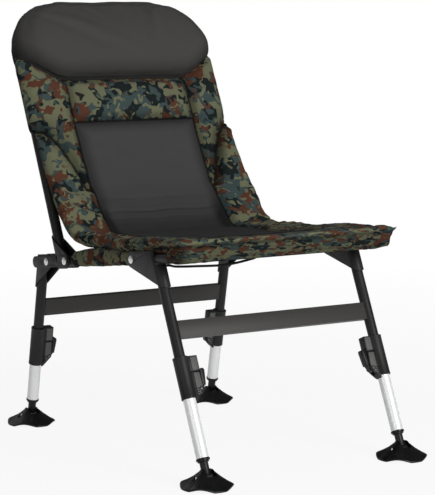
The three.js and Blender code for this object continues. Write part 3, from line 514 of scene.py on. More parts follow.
# Spark-eroded mould grain of 0.4 mm.
grained(nylon, nylon_surface, 2500.0, 0.15, 0.0001)
grained(block_nylon, block_surface, 2500.0, 0.15, 0.0001)

# Blackened steel of the levers' riveted pins, worn lighter, with a fine brushed unevenness.
pin_steel, pin_surface = finish_named("blackened_steel", "6a6a68", 0.45, 0.4)
grained(pin_steel, pin_surface, 900.0, 0.2, 0.0001, detail=2.0)


def plate(shape, outline, low, high, finish=0):
    """A flat piece between two places across the leg, from its outline in millimetres."""
    low, high = sorted((low, high))
    before = set(shape.faces)
    face = shape.faces.new([shape.verts.new((x / 1000, low / 1000, z / 1000)) for x, z in outline])
    grown = bmesh.ops.extrude_face_region(shape, geom=[face])["geom"]
    bmesh.ops.translate(shape, vec=(0, (high - low) / 1000, 0),
                        verts=[g for g in grown if isinstance(g, bmesh.types.BMVert)])
    for face in set(shape.faces) - before:
        face.material_index = finish


def pivot_place(pair, side):
    """The frame of one leg's lever, on its pin."""
    down = LEGS[pair][3] + LOCK_PIVOT[1]
    return leg_place(pair, side, down) @ Matrix.Translation((LOCK_PIVOT[0], 0, 0))


for pair, side, hand in each_leg():
    shape = bmesh.new()
    plate(shape, CLAMP_BLOCK, -BLOCK_HALF, BLOCK_HALF)
    plate(shape, FORK_ROOT, -BLOCK_HALF, BLOCK_HALF)
    for cheek in (-1, 1):
        plate(shape, FORK_CHEEK, cheek * CHEEK_INSIDE, cheek * BLOCK_HALF)
        for panel in RAISED_PANELS:
            plate(shape, panel, cheek * BLOCK_HALF, cheek * PANEL_FACE, 1)
        for z in (-80, -75.6, -71.2, -66.8):
            rib = [(13, z), (21.5, z), (21.5, z + 2), (13, z + 2)]
            plate(shape, rib, cheek * BLOCK_HALF, cheek * RIB_FACE)
    bmesh.ops.recalc_face_normals(shape, faces=shape.faces)
    rounded(shape, 0.0005)
    turned(shape, SLEEVE, 64)
    # Bosses round the ends of the lever's pin.
    bosses = bmesh.new()
    for low, high in ((-10.2, -8.6), (8.6, 10.2)):
        turned(bosses, [(2.9, low), (4.5, low), (4.9, low + 0.4), (4.9, high - 0.4), (4.5, high), (2.9, high),
                        (2.9, low)], 32, "X")
    bmesh.ops.translate(bosses, vec=(LOCK_PIVOT[0], 0, -LOCK_PIVOT[1]), verts=bosses.verts)
    shape.from_mesh(as_mesh("bosses", bosses))
    name = f"{pair}_cam_lock_{hand}"
    mesh = as_mesh(name, shape, leg_place(pair, side, LEGS[pair][3]))
    mesh.materials.append(nylon)
    mesh.materials.append(block_nylon)
    piece_from(name, mesh, nylon, f"{pair}_lower_leg_{hand}", [f"{pair}_lock_{hand}"])
    # The steel pin that the lever turns on, with riveted ends.
    shape = bmesh.new()
    turned(shape, [(0, -10.6), (2.1, -10.6), (2.6, -10.2), (2.8, -9.7), (2.8, 9.7), (2.6, 10.2), (2.1, 10.6),
                   (0, 10.6)], 32, "X")
    leg_piece(pair, hand, "lever_pin", shape, pivot_place(pair, side), pin_steel, "lower_leg")

# --- Cam levers -----------------------------------------------------------------------
# Black glass-filled nylon: a hub with a cam, a short neck and a flat handle that lies along the
# block, with three grip ribs near its tip.
LEVER_HANDLE = [(6.8, 6.5), (13, 6.5), (16.2, 30), (16.9, 37), (15.6, 40), (11.9, 41), (8, 40.4), (6.8, 37.5)]
LEVER_NECK = [(2, 4), (2, 7.4), (7.8, 7.5), (12, 7), (7.2, -1)]
LEVER_HUB = [(3.6, -5.7), (7.1, -5.7), (7.5, -5.3), (7.5, 5.3), (7.1, 5.7), (3.6, 5.7), (3.6, -5.7)]
black_nylon, black_surface = finish_named("black_glass_filled_nylon", "111111", 0.42)
grained(black_nylon, black_surface, 2500.0, 0.15, 0.0001)
for pair, side, hand in each_leg():
    shape = bmesh.new()
    plate(shape, LEVER_HANDLE, -8, 8)
    plate(shape, LEVER_NECK, -5.7, 5.7)
    for z in (28, 31.6, 35.2):
        plate(shape, [(15.4, z), (17, z), (17, z + 1.5), (15.6, z + 1.5)], -6.5, 6.5)
    bmesh.ops.recalc_face_normals(shape, faces=shape.faces)
    rounded(shape, 0.0007)
    turned(shape, LEVER_HUB, 40, "X")
    leg_piece(pair, hand, "cam_lever", shape, pivot_place(pair, side), black_nylon, "lever",
              "lever")

# --- Leg plugs --------------------------------------------------------------------------
# Black nylon plugs pressed into the tubes: a flange under the tube's end, a neck, and an eye for
# the foot's pin.
PLUG = [(0, 18), (10.2, 18), (11.0, 17), (11.0, -0.3), (13.3, -0.3), (13.75, -0.8), (13.75, -3.9),
        (13.2, -4.5), (11.5, -4.5), (11.5, -7.1), (11.1, -7.5), (9.0, -7.5), (8.5, -8.2), (8.5, -31),
        (7.4, -33.5), (0, -33.5)]
PLUG_EYE = [(2.5, -10.2), (8.4, -10.2), (9.0, -9.6), (9.0, 9.6), (8.4, 10.2), (2.5, 10.2), (2.5, -10.2)]
for pair, side, hand in each_leg():
    shape = bmesh.new()
    turned(shape, PLUG)
    eye = bmesh.new()
    turned(eye, PLUG_EYE, 48, "Y")
    bmesh.ops.translate(eye, vec=(0, 0, -EYE_DROP), verts=eye.verts)
    shape.from_mesh(as_mesh("eye", eye))
    leg_piece(pair, hand, "leg_plug", shape, leg_place(pair, side, LEGS[pair][2]), black_nylon, "lower_leg",
              "plug")

# --- Mud feet ---------------------------------------------------------------------------
# Wide black rubbery plastic pads on four lobes, thin and fluted towards the rim, with a hub that is
# slotted for the plug's eye and recesses that lay the ends of its pin open. A little uneven in gloss.
FOOT_RADIUS = 0.052
FOOT_CORE = 0.025
FOOT_WAVE = 0.008
FOOT_OUTLINE = [
    (0, 36), (9.6, 36), (12.2, 35.3), (13.8, 33.4), (15, 31.6), (19, 28.3), (23.5, 24.7), (28, 20.8),
    (33, 17.0), (38, 13.2), (42.5, 9.9), (47, 6.6), (50, 4.5), (51.5, 3.5), (52, 2.5), (52, 0.6),
    (51.4, 0), (49, 0), (46.3, 1.5), (41, 5.3), (36.8, 8.7), (30, 13.9), (25.4, 17.3), (25, 16.9),
    (25, 5.6), (24.4, 5), (0, 5),
]
ANKLE_PIN = [(0, -26), (1.9, -25.8), (3.0, -25), (3.4, -24), (3.4, -22.6), (2.15, -22.4), (2.15, 22.4),
             (3.4, 22.6), (3.4, 24), (3.0, 25), (1.9, 25.8), (0, 26)]
SLOT_SIZE = (0.021, 0.044, 0.034)
SLOT_MIDDLE = 0.0275
RECESS_RADIUS = 0.0048
RECESS_DEPTH = 0.016
RECESS_OUT = 0.0282

rubber, rubber_surface = finish_named("black_moulded_rubber", "0b0b0b", 0.4, 0.0, 0.32)
place = grained(rubber, rubber_surface, 1800.0, 0.2, 0.0002)
uneven_gloss(rubber, rubber_surface, noise_at(rubber, place, 45.0, 2.0), 0.3, 0.48)


def foot_wave(spot):
    """Lifts the rim between the four lobes that the foot stands on."""
    reach = max(0.0, hypot(spot.x, spot.y) - FOOT_CORE) / (FOOT_RADIUS - FOOT_CORE)
    lobe = max(0.0, (1 - cos(4 * atan2(spot.y, spot.x))) / 2 - 0.26)
    flute = 0.0007 * cos(32 * atan2(spot.y, spot.x)) * min(1.0, reach * 3) * (1 - reach)
    return Vector((0, 0, FOOT_WAVE * lobe * min(1.0, reach * 1.15) ** 1.5 + flute))


def evaluated(piece):
    """The piece's mesh with its modifiers applied."""
    graph = bpy.context.evaluated_depsgraph_get()
    return bpy.data.meshes.new_from_object(piece.evaluated_get(graph))


def mud_foot(name):
    """One foot, standing on the ground about its own middle."""
    shape = bmesh.new()
    turned(shape, FOOT_OUTLINE, 128)
    for vert in shape.verts:
        vert.co += foot_wave(vert.co)
    body = stood(name, as_mesh(name, shape))
    hollows = bmesh.new()
    bmesh.ops.create_cube(hollows, size=1, matrix=Matrix.Translation((0, 0, SLOT_MIDDLE)) @ Matrix.Diagonal(
        (*SLOT_SIZE, 1)))
    rounded(hollows, 0.0015)
    for side, _ in SIDES:
        spot = Matrix.Translation((side * RECESS_OUT, 0, PIN_HEIGHT)) @ Matrix.Rotation(pi / 2, 4, "Y")
        bmesh.ops.create_cone(hollows, cap_ends=True, segments=32, radius1=RECESS_RADIUS,
                              radius2=RECESS_RADIUS, depth=RECESS_DEPTH, matrix=spot)
    cutter = stood("slot", as_mesh("slot", hollows))
    cut = body.modifiers.new("slot", "BOOLEAN")
    cut.object = cutter
    cut.solver = "EXACT"
    mesh = evaluated(body)
    bpy.data.objects.remove(body)
    bpy.data.objects.remove(cutter)
    shape = bmesh.new()
    shape.from_mesh(mesh)
    return as_mesh(name, shape)


foot_form = mud_foot("mud_foot")
for pair, side, hand in each_leg():
    crossing, splay, tube_end = LEGS[pair][:3]
    pin = leaned(crossing, splay) @ Vector((side * HALF_SPACING, 0, -tube_end - EYE_DROP))
    name = f"{pair}_mud_foot_{hand}"
    mesh = foot_form.copy()
    mesh.name = name
    mesh.transform(Matrix.Translation((pin.x, pin.y, 0)))
    piece_from(name, mesh, rubber, f"{pair}_foot_{hand}", [f"{pair}_foot_{hand}"])
    shape = bmesh.new()
    turned(shape, ANKLE_PIN, 24, "Y")
    leg_piece(pair, hand, "ankle_pin", shape, Matrix.Translation(pin), zinc, "foot", "foot_pin")

# --- Mattress -------------------------------------------------------------------
# One long cushion of polyester cloth over foam: the skirt round the front of the seat, the seat, the
# bend, and the back with a camouflage band and two wings. The middle is plain cloth and the borders
# are printed. Seams are drawn in.
BACK_PLACE = leaned(BACK_CROSSING, -SPLAY)
to_rail, to_back = RAIL_PLACE.inverted(), BACK_PLACE.inverted()
rail_turn, back_turn = RAIL_PLACE.to_3x3(), BACK_PLACE.to_3x3()
turn_to_rail, turn_to_back = to_rail.to_3x3(), to_back.to_3x3()

PANEL_EDGE = 0.152         # the plain panel's seams: off the middle, along the rail, corner radius
PANEL_FRONT = 0.452
PANEL_CORNER = 0.030
BEND_TOP = 0.135           # up the back: the bend's end, the band's seam and the band's top
BAND_EDGE = 0.3026
BAND_TOP = 0.41
CREASES_FROM = 0.066       # up the back: where the creases over the bend begin, and the highest
CREASE_TOP = 0.080
CREASE_PITCH = 0.022
FOLD_PITCH = 0.034
SKIRT_FROM = 0.42          # along the rail, and the roll's lower side above the rail
ROLL_FOOT = 0.0215
WING_SEAM = smooth_route([Vector((x, r, 0)) for x, r in (
    (0.152, 0.138), (0.1645, 0.1445), (0.182, 0.198), (0.2063, 0.253), (0.2306, 0.2826), (0.256, 0.292))], 5)
# The print's inks over its teal ground: colour, offset, patches per metre, and level.
INKS = (
    ("1f2526", (3.1, 0.7, 1.9), 24.0, 0.512),
    ("57382b", (0.4, 5.2, 2.2), 20.0, 0.558),
    ("696b54", (7.3, 1.1, 4.6), 33.0, 0.556),
)
INK_EDGE = 0.018


def plain_cloth(name, colour):
    """Woven polyester with a soft napped face."""
    material, surface = finish_named(name, colour, 0.85, shine=0.0)
    surface.inputs["Sheen Weight"].default_value = 0.02
    surface.inputs["Sheen Roughness"].default_value = 0.5
    return material, surface


def shaded(material, colour):
    """The colour, darkened by painted shade along seams, on the seat, under the skirt's roll and at the
    pillow's lower seam and sides.
    """
    depth = put(material, "Attribute", attribute_name="painted_shade")
    return between(material, depth.outputs["Fac"], colour, linear("0b0b0b"))


def cloth_relief(material, surface):
    """The weave and the small pulls in the cloth."""
    place = object_place(material)
    # Threads are 0.5 mm; they are drawn at 1.1 mm so that they show.
    warp = noise_at(material, place, 1 / 0.0011, 1.0)
    pulls = put(material, "TexNoise", {"Vector": place, "Scale": 22.0, "Detail": 3.0, "Distortion": 0.8})
    fine = put(material, "Bump", {"Height": warp.outputs["Fac"], "Strength": 0.25, "Distance": 0.0003})
    soft = put(material, "Bump", {"Height": pulls.outputs["Fac"], "Strength": 0.35, "Distance": 0.004,
                                  "Normal": fine.outputs["Normal"]})
    join(material, soft.outputs["Normal"], surface.inputs["Normal"])
    return place


def camouflage_colour(material, place, shift=(0, 0, 0)):
    """Four-colour woodland print: a teal ground with dark, rust and khaki patches 15 to 50 mm long."""
    curl = noise_at(material, place, 66.0, 0.0)
    bent = put(material, "VectorMath", {0: curl.outputs["Color"], 1: (0.028, 0.028, 0.028), 2: place},
               operation="MULTIPLY_ADD")
    colour = linear("3e4b4a")
    for ink, offset, patches, level in INKS:
        moved = put(material, "Mapping", {"Vector": bent.outputs[0],
                                          "Location": Vector(offset) + Vector(shift)})
        blobs = put(material, "TexNoise", {"Vector": moved.outputs[0], "Scale": patches, "Detail": 0.0,
                                           "Distortion": 1.2})
        mask = spread(material, blobs.outputs["Fac"], level - INK_EDGE, level + INK_EDGE)
        colour = between(material, mask, colour, linear(ink))
    return colour


def stuffed(name, solids, voxel=0.006, cap=0.004, soften=4, grow=0.001):
    """A cushion: the solids joined and skinned evenly, then swollen as sewn cloth over foam. Only the
    outward part of the swelling is kept, so that sewn edges stay against their neighbours."""
    shape = bmesh.new()
    for solid in solids:
        shape.from_mesh(solid)
    bmesh.ops.remove_doubles(shape, verts=shape.verts, dist=1e-5)
    mesh = bpy.data.meshes.new(name)
    shape.to_mesh(mesh)
    shape.free()
    holder = stood(name + "_form", mesh)
    skin = holder.modifiers.new("skin", "REMESH")
    skin.mode = "VOXEL"
    skin.voxel_size = voxel
    holder.data = evaluated(holder)
    holder.modifiers.clear()
    shape = bmesh.new()
    shape.from_mesh(holder.data)
    for _ in range(soften):
        bmesh.ops.smooth_vert(shape, verts=shape.verts, factor=0.5, use_axis_x=True, use_axis_y=True,
                              use_axis_z=True)
    shape.normal_update()
    for vert in shape.verts:
        vert.co += vert.normal * grow
    shape.to_mesh(holder.data)
    shape.free()
    before = [(v.co.copy(), v.normal.copy()) for v in holder.data.vertices]
    cloth = holder.modifiers.new("sewn_cloth", "CLOTH")
    cloth.settings.quality = 4
    cloth.settings.mass = 0.3
    cloth.settings.use_pressure = True
    cloth.settings.uniform_pressure_force = 4.0
    cloth.settings.effector_weights.gravity = 0
    cloth.settings.tension_stiffness = 12
    cloth.settings.compression_stiffness = 12
    cloth.settings.bending_stiffness = 0.4
    cloth.collision_settings.use_collision = False
    cloth.point_cache.frame_start = 1
    cloth.point_cache.frame_end = 20
    for step in range(1, 21):
        bpy.context.scene.frame_set(step)
        bpy.context.view_layer.update()
    swollen = evaluated(holder)
    bpy.context.scene.frame_set(1)
    holder.modifiers.clear()
    for vert, grown, (rest, outward) in zip(holder.data.vertices, swollen.vertices, before):
        vert.co = rest + outward * min(cap, max(0.0, outward.dot(grown.co - rest)))
    finer = holder.modifiers.new("finer", "SUBSURF")
    finer.levels = finer.render_levels = 1
    mesh = evaluated(holder)
    bpy.data.objects.remove(holder)
    mesh.name = name
    mesh.materials.clear()
    mesh.shade_smooth()
    return mesh


def reshape(mesh, move):
    """Moves each point of a mesh by what move gives for its place and outward direction."""
    shape = bmesh.new()
    shape.from_mesh(mesh)
    shape.normal_update()
    shifts = [(vert, move(vert.co, vert.normal)) for vert in shape.verts]
    for vert, shift in shifts:
        if shift is not None:
            vert.co += shift
    shape.to_mesh(mesh)
    shape.free()
    mesh.shade_smooth()


def ramp(value, length):
    """Runs from 0 to 1 while a value runs from 0 to a length."""
    return min(1.0, max(0.0, value) / length)


def hollow(distance, width):
    """A rounded channel's depth, from 1 at its middle to 0 at its edge."""
    return max(0.0, 1 - (distance / width) ** 2) ** 2


def toward_side(x):
    """Runs from 0 over the plain panel's edge to 1 at the side of the back, and on past it."""
    return max(0.0, abs(x) - 0.15) / 0.10


def outside_plain(spot):
    """How far a point is outside the plain middle of the mattress, in metres."""
    local = to_rail @ spot
    across = abs(local.x) - PANEL_EDGE
    ahead = -local.y - PANEL_FRONT
    corner = hypot(max(across + PANEL_CORNER, 0), max(ahead + PANEL_CORNER, 0)) - PANEL_CORNER
    if across < -PANEL_CORNER and ahead < -PANEL_CORNER:
        corner = max(across, ahead)
    return max(corner, (to_back @ spot).z - BAND_EDGE)


def above_wing_seam(back):
    """How far a point of the back is above the seam between wing and side pad, in metres."""
    x = abs(back.x)
    if x <= WING_SEAM[0].x:
        return back.z - WING_SEAM[0].y
    a, b = next(((a, b) for a, b in zip(WING_SEAM, WING_SEAM[1:]) if b.x >= x), WING_SEAM[-2:])
    run = b - a
    return -(Vector((x, back.z, 0)) - a).cross(run).z / run.length


def seam_gap(spot):
    """How far a point is from the nearest seam of the mattress, in metres."""
    back = to_back @ spot
    gap = abs(outside_plain(spot))
    x = abs(back.x)
    if back.z > BAND_EDGE:
        gap = min(gap, abs(x - PANEL_EDGE))
    if x > PANEL_EDGE and back.z > BEND_TOP:
        gap = min(gap, abs(above_wing_seam(back)) * 0.6)
    return gap


def head_lower(x):
    """The height of the headrest's lower edge up the back."""
    return 0.402 + 0.058 * (max(0.0, abs(x) - 0.152) / 0.098) ** 1.5


def panel_creases(x, up, along):
    """Creases across the plain panel over the bend, and the drop back to the seat below them."""
    creases = 0.0
    if CREASES_FROM < up < 0.13:
        wander = 0.004 * noise.noise((x * 8, 0.3, 1.3))
        ripple = cos((up - CREASE_TOP + wander) * 2 * pi / CREASE_PITCH)
        fade = ramp(up - CREASES_FROM, 0.010) * max(0.0, 1 - (up - CREASE_TOP) / 0.050)
        creases += 0.0034 * ripple * fade * (1 - (x / PANEL_EDGE) ** 4)
    past_crease = (along - 0.068) / 0.085
    if 0 < past_crease < 1:
        creases -= 0.012 * sin(pi * past_crease ** 0.5) * ramp(PANEL_EDGE - abs(x), 0.025)
    return creases


def border_folds(spot, x, along):
    """Narrow folds that the printed borders gather into where the cushion turns."""
    out = abs(x) - PANEL_EDGE
    turn = hollow(along - 0.15, 0.17) * ramp(out, 0.02)
    ripple = sin(along * 2 * pi / FOLD_PITCH + out * 60 + 4.0 * noise.noise(spot * 20))
    depth = 0.0030 if x < 0 else 0.0016
    return depth * ripple * turn + 0.004 * hollow(along - 0.07, 0.09) * turn


def mattress_shift(spot, normal):
    """What the seams, creases and folds of the seat and the back move a point by."""
    local, back = to_rail @ spot, to_back @ spot
    along, x = -local.y, abs(back.x)
    forward = -(turn_to_back @ normal).y
    # The upper edges run on under the headrest.
    over = back.z - head_lower(x)
    tuck = ramp(over + 0.012, 0.008)
    rise = 0.011 * toward_side(x) * ramp(over + 0.045, 0.045)
    if rise > 0 and tuck == 0 and forward > -0.3:
        return back_turn @ Vector((0, 0, rise)) + normal * 0.0015 * noise.noise(spot * 19)
    if tuck > 0:
        outer = ramp(x - 0.215, 0.03)
        inward = -0.007 * outer if back.x > 0 else 0.007 * outer
        return back_turn @ Vector((inward, 0.011 - 0.007 * outer, 0.009 + rise / tuck)) * tuck
    if max((turn_to_rail @ normal).z, forward) < 0.2:
        # Under the turn the borders sag a little.
        turn = hollow(along - 0.125, 0.07) * ramp(x - 0.16, 0.04)
        return rail_turn @ Vector((0, 0.005, -0.003)) * turn
    seam = hollow(seam_gap(spot), 0.012) * 0.0045
    creases = fullness = 0.0
    if x < PANEL_EDGE:
        creases = panel_creases(back.x, back.z, along)
        if BAND_EDGE < back.z < BAND_TOP:
            # The band is a crowned roll between its seams.
            crown = sin(pi * (back.z - BAND_EDGE) / 0.105) ** 0.6
            fullness = 0.006 * crown * ramp(PANEL_EDGE - x, 0.03)
    elif x > PANEL_EDGE:
        if BEND_TOP < back.z < 0.30:
            # The side pad is fuller than the wing that it meets.
            above = above_wing_seam(back)
            seam += 0.004 * hollow(above - 0.004, 0.014) - 0.003 * hollow(above + 0.016, 0.014)
        if back.z < 0.16 and along < 0.30:
            creases = border_folds(spot, back.x, along)
    if x > PANEL_EDGE - 0.01 and along > 0.10:
        # Long thin folds lie along the seat's printed borders.
        streak = noise.noise((local.x * 60, local.y * 14, local.z * 60 + 3.7))
        creases += 0.0024 * streak * ramp(along - 0.10, 0.08)
    rumple = 0.0022 * noise.noise(spot * 19) + 0.0012 * noise.noise(spot * 43)
    return normal * (creases + fullness + rumple * 0.8 - seam)


def skirt_shift(spot, normal):
    """The cushion's roll overhangs the skirt that goes round the rail; the cloth lies in long folds."""
    local = to_rail @ spot
    along, up = -local.y, local.z
    if along < SKIRT_FROM or abs((turn_to_rail @ normal).z) > 0.75:
        return None
    # The front right corner stands out full with a raised tip; the left one is drawn in under its roll.
    corner = ramp(along - 0.46, 0.06) * ramp(abs(local.x) - 0.19, 0.05)
    if local.x > 0:
        push = Vector((0.015 * ramp(0.045 - up, 0.02), 0, 0.006 * max(0.0, up) / 0.03))
    else:
        push = Vector((0.007 * ramp(0.022 - up, 0.01), 0, 0))
    folds = 0.0028 * noise.noise((local.x * 13, local.y * 13, up * 75)) * (1 - corner)
    wander = 0.004 * noise.noise((local.x * 14, local.y * 14, 0.4))
    roll = 0.0070 * hollow(up - ROLL_FOOT - wander, 0.010) * (1 - 0.7 * corner)
    below = 0.0060 * max(0.0, 0.020 - up) / 0.030 * (1 - corner)
    ruffle = 0.0016 * noise.noise((local.x * 30, local.y * 30, up * 160))
    drawn = normal * ramp(along - SKIRT_FROM, 0.04) * (folds - roll - below + ruffle)
    return drawn + rail_turn @ push * corner


MATTRESS_NODES = ("seat_mattress", "mattress_bend", "back_panel", "back_band", "back_side_pad_left",
                  "back_side_pad_right", "back_wing_left", "back_wing_right")
# The wings are sleeves round the back's tubes, so they are formed over a core of the tube's width.
wing_cores = [cord_mesh("core", [BACK_PLACE @ Vector((side * HALF_SPACING, 0, r))
                                 for r in (0.300, 0.34, 0.40, 0.452)], 0.0121) for side, _ in SIDES]
mattress_mesh = stuffed("mattress_cushion", [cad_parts[n].data for n in MATTRESS_NODES] + wing_cores)
reshape(mattress_mesh, mattress_shift)
reshape(mattress_mesh, skirt_shift)

# Woven polyester. The mattress carries both cloths: plain in the middle, printed outside the seam,
# each printed panel cut from another place of the cloth. Along the seams a dark line is painted, partly
# the seams' dark stitching and partly painted shadow in their grooves.
mattress_cloth, mattress_surface = plain_cloth("mattress_polyester", "464646")
place = cloth_relief(mattress_cloth, mattress_surface)
panel_shift = put(mattress_cloth, "Attribute", attribute_name="print_shift")
moved = put(mattress_cloth, "VectorMath", {0: place, 1: panel_shift.outputs["Vector"]}, operation="ADD")
printed = camouflage_colour(mattress_cloth, moved.outputs[0])
split = put(mattress_cloth, "Attribute", attribute_name="outside_seam")
chosen = spread(mattress_cloth, split.outputs["Fac"], -0.0004, 0.0004)
both = between(mattress_cloth, chosen, linear("464646"), printed)
near = put(mattress_cloth, "Attribute", attribute_name="seam_gap")
seam_line_and_shadow = spread(mattress_cloth, near.outputs["Fac"], 0.0012, 0.0042, 0.85, 0.0)
sewn = between(mattress_cloth, seam_line_and_shadow, both, linear("141414"))
join(mattress_cloth, shaded(mattress_cloth, sewn), mattress_surface.inputs["Base Color"])

seam_side = mattress_mesh.attributes.new("outside_seam", "FLOAT", "POINT")
seam_near = mattress_mesh.attributes.new("seam_gap", "FLOAT", "POINT")
for vert, side, near_seam in zip(mattress_mesh.vertices, seam_side.data, seam_near.data):
    facing = max((turn_to_rail @ vert.normal).z, -(turn_to_back @ vert.normal).y)
    side.value = outside_plain(vert.co) if facing > -0.1 else 0.05
    near_seam.value = min(0.03, seam_gap(vert.co)) if facing > 0 else 0.03

# Painted shade: the plain panel is darker on the seat, the skirt is darker under the roll that overhangs it,
# and the cloth is darker by its seams. A short strip at the outer ends of the wings' lower seams is painted
# near black.
painted_shade = mattress_mesh.attributes.new("painted_shade", "FLOAT", "POINT")
for vert, depth in zip(mattress_mesh.vertices, painted_shade.data):
    local, back = to_rail @ vert.co, to_back @ vert.co
    plain = ramp(-outside_plain(vert.co), 0.004)
    seat_shade = 0.5 * ramp(-local.y - 0.058, 0.034) * plain
    roll_shade = 0.0
    if -local.y > SKIRT_FROM:
        roll_shade = 0.45 * ramp(0.024 - local.z, 0.012) + 0.6 * hollow(local.z - ROLL_FOOT, 0.007)
    seam_shade = 0.45 * hollow(seam_gap(vert.co), 0.024 + 0.010 * plain)
    near_black_strip = 0.95 if abs(back.x) > 0.241 and abs(back.z - 0.289) < 0.006 else 0.0
    depth.value = max(near_black_strip, min(0.8, max(seat_shade, roll_shade) + seam_shade))

# On the skirt the cloth is gathered downwards, so that its print is squeezed to a third of its height.
print_shift = mattress_mesh.attributes.new("print_shift", "FLOAT_VECTOR", "CORNER")
for face in mattress_mesh.polygons:
    local, back = to_rail @ face.center, to_back @ face.center
    shift = Vector((0, 0, 0))
    if back.z > BAND_EDGE and abs(back.x) < PANEL_EDGE:
        shift = Vector((0.31, 0.12, 0.5))
    elif back.z > BEND_TOP and abs(back.x) > PANEL_EDGE and above_wing_seam(back) > 0:
        shift = Vector((0.9, 0.4, 0.2))
    for loop in face.loop_indices:
        spot = to_rail @ mattress_mesh.vertices[mattress_mesh.loops[loop].vertex_index].co
        squeeze = 2 * spot.z * ramp(-spot.y - 0.30, 0.12) if -local.y > 0.28 else 0.0
        print_shift.data[loop].vector = shift + Vector((0, 0, squeeze))
mattress = stood("mattress_cushion", mattress_mesh)
mattress_mesh.materials.append(mattress_cloth)
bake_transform(mattress)
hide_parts(*MATTRESS_NODES)

# --- Headrest -------------------------------------------------------------------
# A plain pillow sewn over the top of the back frame. It is fullest above its lower edge, which hangs
# over the band and the wings, and its cloth is pulled in along the top seam.
HEAD_TOP = 0.595
FULLEST = 0.22             # share of the pillow's height at which it is fullest
CROWN = 0.014
# Two folds and three puckers: middle, slope, top and length up the back, width and depth.
PILLOW_FOLDS = (
    (-0.190, 1.75, 0.560, 0.110, 0.040, 0.0050), (0.090, -0.12, 0.592, 0.130, 0.019, 0.0080),
    (-0.085, 0.9, 0.590, 0.050, 0.016, 0.0035), (0.120, -0.5, 0.592, 0.060, 0.018, 0.0035),
    (0.062, 0.0, 0.592, 0.060, 0.012, 0.0036),
)

# Plain dark grey polyester, a little smoother than the print.
grey_cloth, grey_surface = plain_cloth("dark_grey_polyester", "494847")
cloth_relief(grey_cloth, grey_surface)
join(grey_cloth, shaded(grey_cloth, linear("494847")), grey_surface.inputs["Base Color"])

hoop_line = [BACK_PLACE @ Vector((-HALF_SPACING, 0, 0.44))]
for side, _ in SIDES:
    for i in range(9):
        turn = (i if side < 0 else 8 - i) / 8 * pi / 2
        x = side * (HALF_SPACING - BACK_HOOP_BEND + BACK_HOOP_BEND * cos(turn))
        r = BACK_HOOP_END - BACK_HOOP_BEND + BACK_HOOP_BEND * sin(turn)
        hoop_line.append(BACK_PLACE @ Vector((x, 0, r)))
hoop_line.append(BACK_PLACE @ Vector((HALF_SPACING, 0, 0.44)))


def pillow_shift(spot, normal):
    """What the headrest's fullness, its hanging edge and its folds move a point by."""
    back = to_back @ spot
    facing = -(turn_to_back @ normal).y
    low = head_lower(back.x)
    height = ramp(back.z - low, HEAD_TOP - low)
    # Its cover is cut a little tight, more so at the sides.
    side = toward_side(back.x)
    tight = back_turn @ Vector((-0.0030 * side if back.x > 0 else 0.0015 * side, 0,
                                -0.0012 * max(0.0, height - 0.6) / 0.4))
    if facing < -0.3:
        # Behind, the cover lies over the tube.
        return tight + normal * 0.0042 * ramp(-facing - 0.3, 0.25)
    # Below its fullest height it turns in to its seam, which hangs a little.
    if height < FULLEST:
        crown = CROWN - 0.030 * (1 - height / FULLEST) ** 2
    else:
        crown = CROWN * (1 - ((height - FULLEST) / (1 - FULLEST)) ** 2)
    crown *= 1 - ramp(abs(back.x), 0.25) ** 4
    hang = back_turn @ Vector((0, 0, 0.011 * side * (1 - height) - 0.005 * hollow(height, 0.15)))
    pulls = 0.0
    for middle, slope, top, length, width, depth in PILLOW_FOLDS:
        drop = top - back.z
        line = back.x - middle - slope * drop
        fade = max(0.0, 1 - drop / length) * ramp(drop, 0.028)
        pulls += depth * fade * (hollow(line - width, width * 1.3) - 0.7 * hollow(line, width))
    slack = 0.0026 * noise.noise(spot * 9) + 0.0012 * noise.noise(spot * 24)
    return normal * (crown + pulls + slack) * min(1.0, (facing + 0.3) / 0.5) + hang + tight


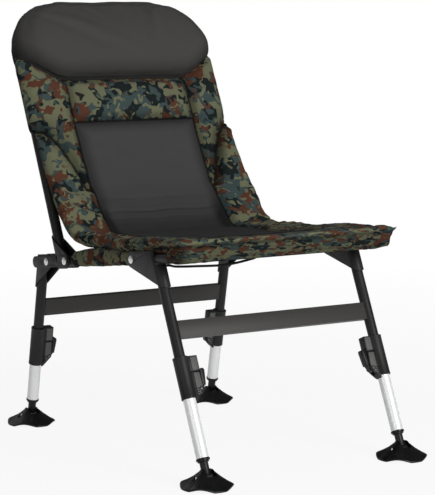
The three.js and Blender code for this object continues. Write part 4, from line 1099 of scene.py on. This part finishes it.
pillow_core = cord_mesh("core", hoop_line, 0.0125)
pillow_mesh = stuffed("headrest_cushion", [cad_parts["headrest_pillow"].data, pillow_core], cap=0.005,
                      soften=12, grow=0.002)
reshape(pillow_mesh, pillow_shift)
# Shade along the lower seam and at the sides.
painted_shade = pillow_mesh.attributes.new("painted_shade", "FLOAT", "POINT")
for vert, depth in zip(pillow_mesh.vertices, painted_shade.data):
    back = to_back @ vert.co
    above_seam = (back.z - head_lower(back.x) - 0.011 * toward_side(back.x)) / 0.045
    depth.value = 0.55 * max(0.0, 1 - max(0.0, above_seam)) ** 1.3 + 0.16 * ramp(abs(back.x) - 0.19, 0.06)
pillow = piece_from("headrest_cushion", pillow_mesh, grey_cloth, "backrest",
                    ["headrest_pillow"])

# --- Rail sleeves ---------------------------------------------------------------
# Camouflage cloth wrapped round the rails and padded on top, with open hemmed ends.
# Printed polyester Oxford: matt, four flat colours with nearly crisp edges and a fine weave.
sleeve_cloth, sleeve_surface = plain_cloth("camouflage_polyester_sleeves", "59563f")
place = cloth_relief(sleeve_cloth, sleeve_surface)
printed = camouflage_colour(sleeve_cloth, place, (0.13, 0.77, 0.61))
join(sleeve_cloth, printed, sleeve_surface.inputs["Base Color"])


def slack_shift(spot, normal):
    """A little slackness of the cloth."""
    return normal * 0.0012 * (noise.noise(spot * 17) + 0.5 * noise.noise(spot * 41))


for side, hand in SIDES:
    name = f"rail_sleeve_{hand}_cloth"
    x = side * HALF_SPACING * 1000
    core = cord_mesh("core", [on_rail(x, s, 0) for s in (103, 180, 260, 333)], 0.0119)
    sleeve_mesh = stuffed(name, [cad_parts[f"rail_sleeve_{hand}"].data, core], voxel=0.004, cap=0.001,
                          soften=3, grow=0.0)
    reshape(sleeve_mesh, slack_shift)
    sleeve = piece_from(name, sleeve_mesh, sleeve_cloth, "seat", [f"rail_sleeve_{hand}"])

# --- Seat platform --------------------------------------------------------------
# Coated black cloth stretched between the rails under the mattress.
coated, coated_surface = plain_cloth("coated_black_cloth", "151515")
cloth_relief(coated, coated_surface)
softened("seat_platform_cloth", "seat_platform", "seat", coated)
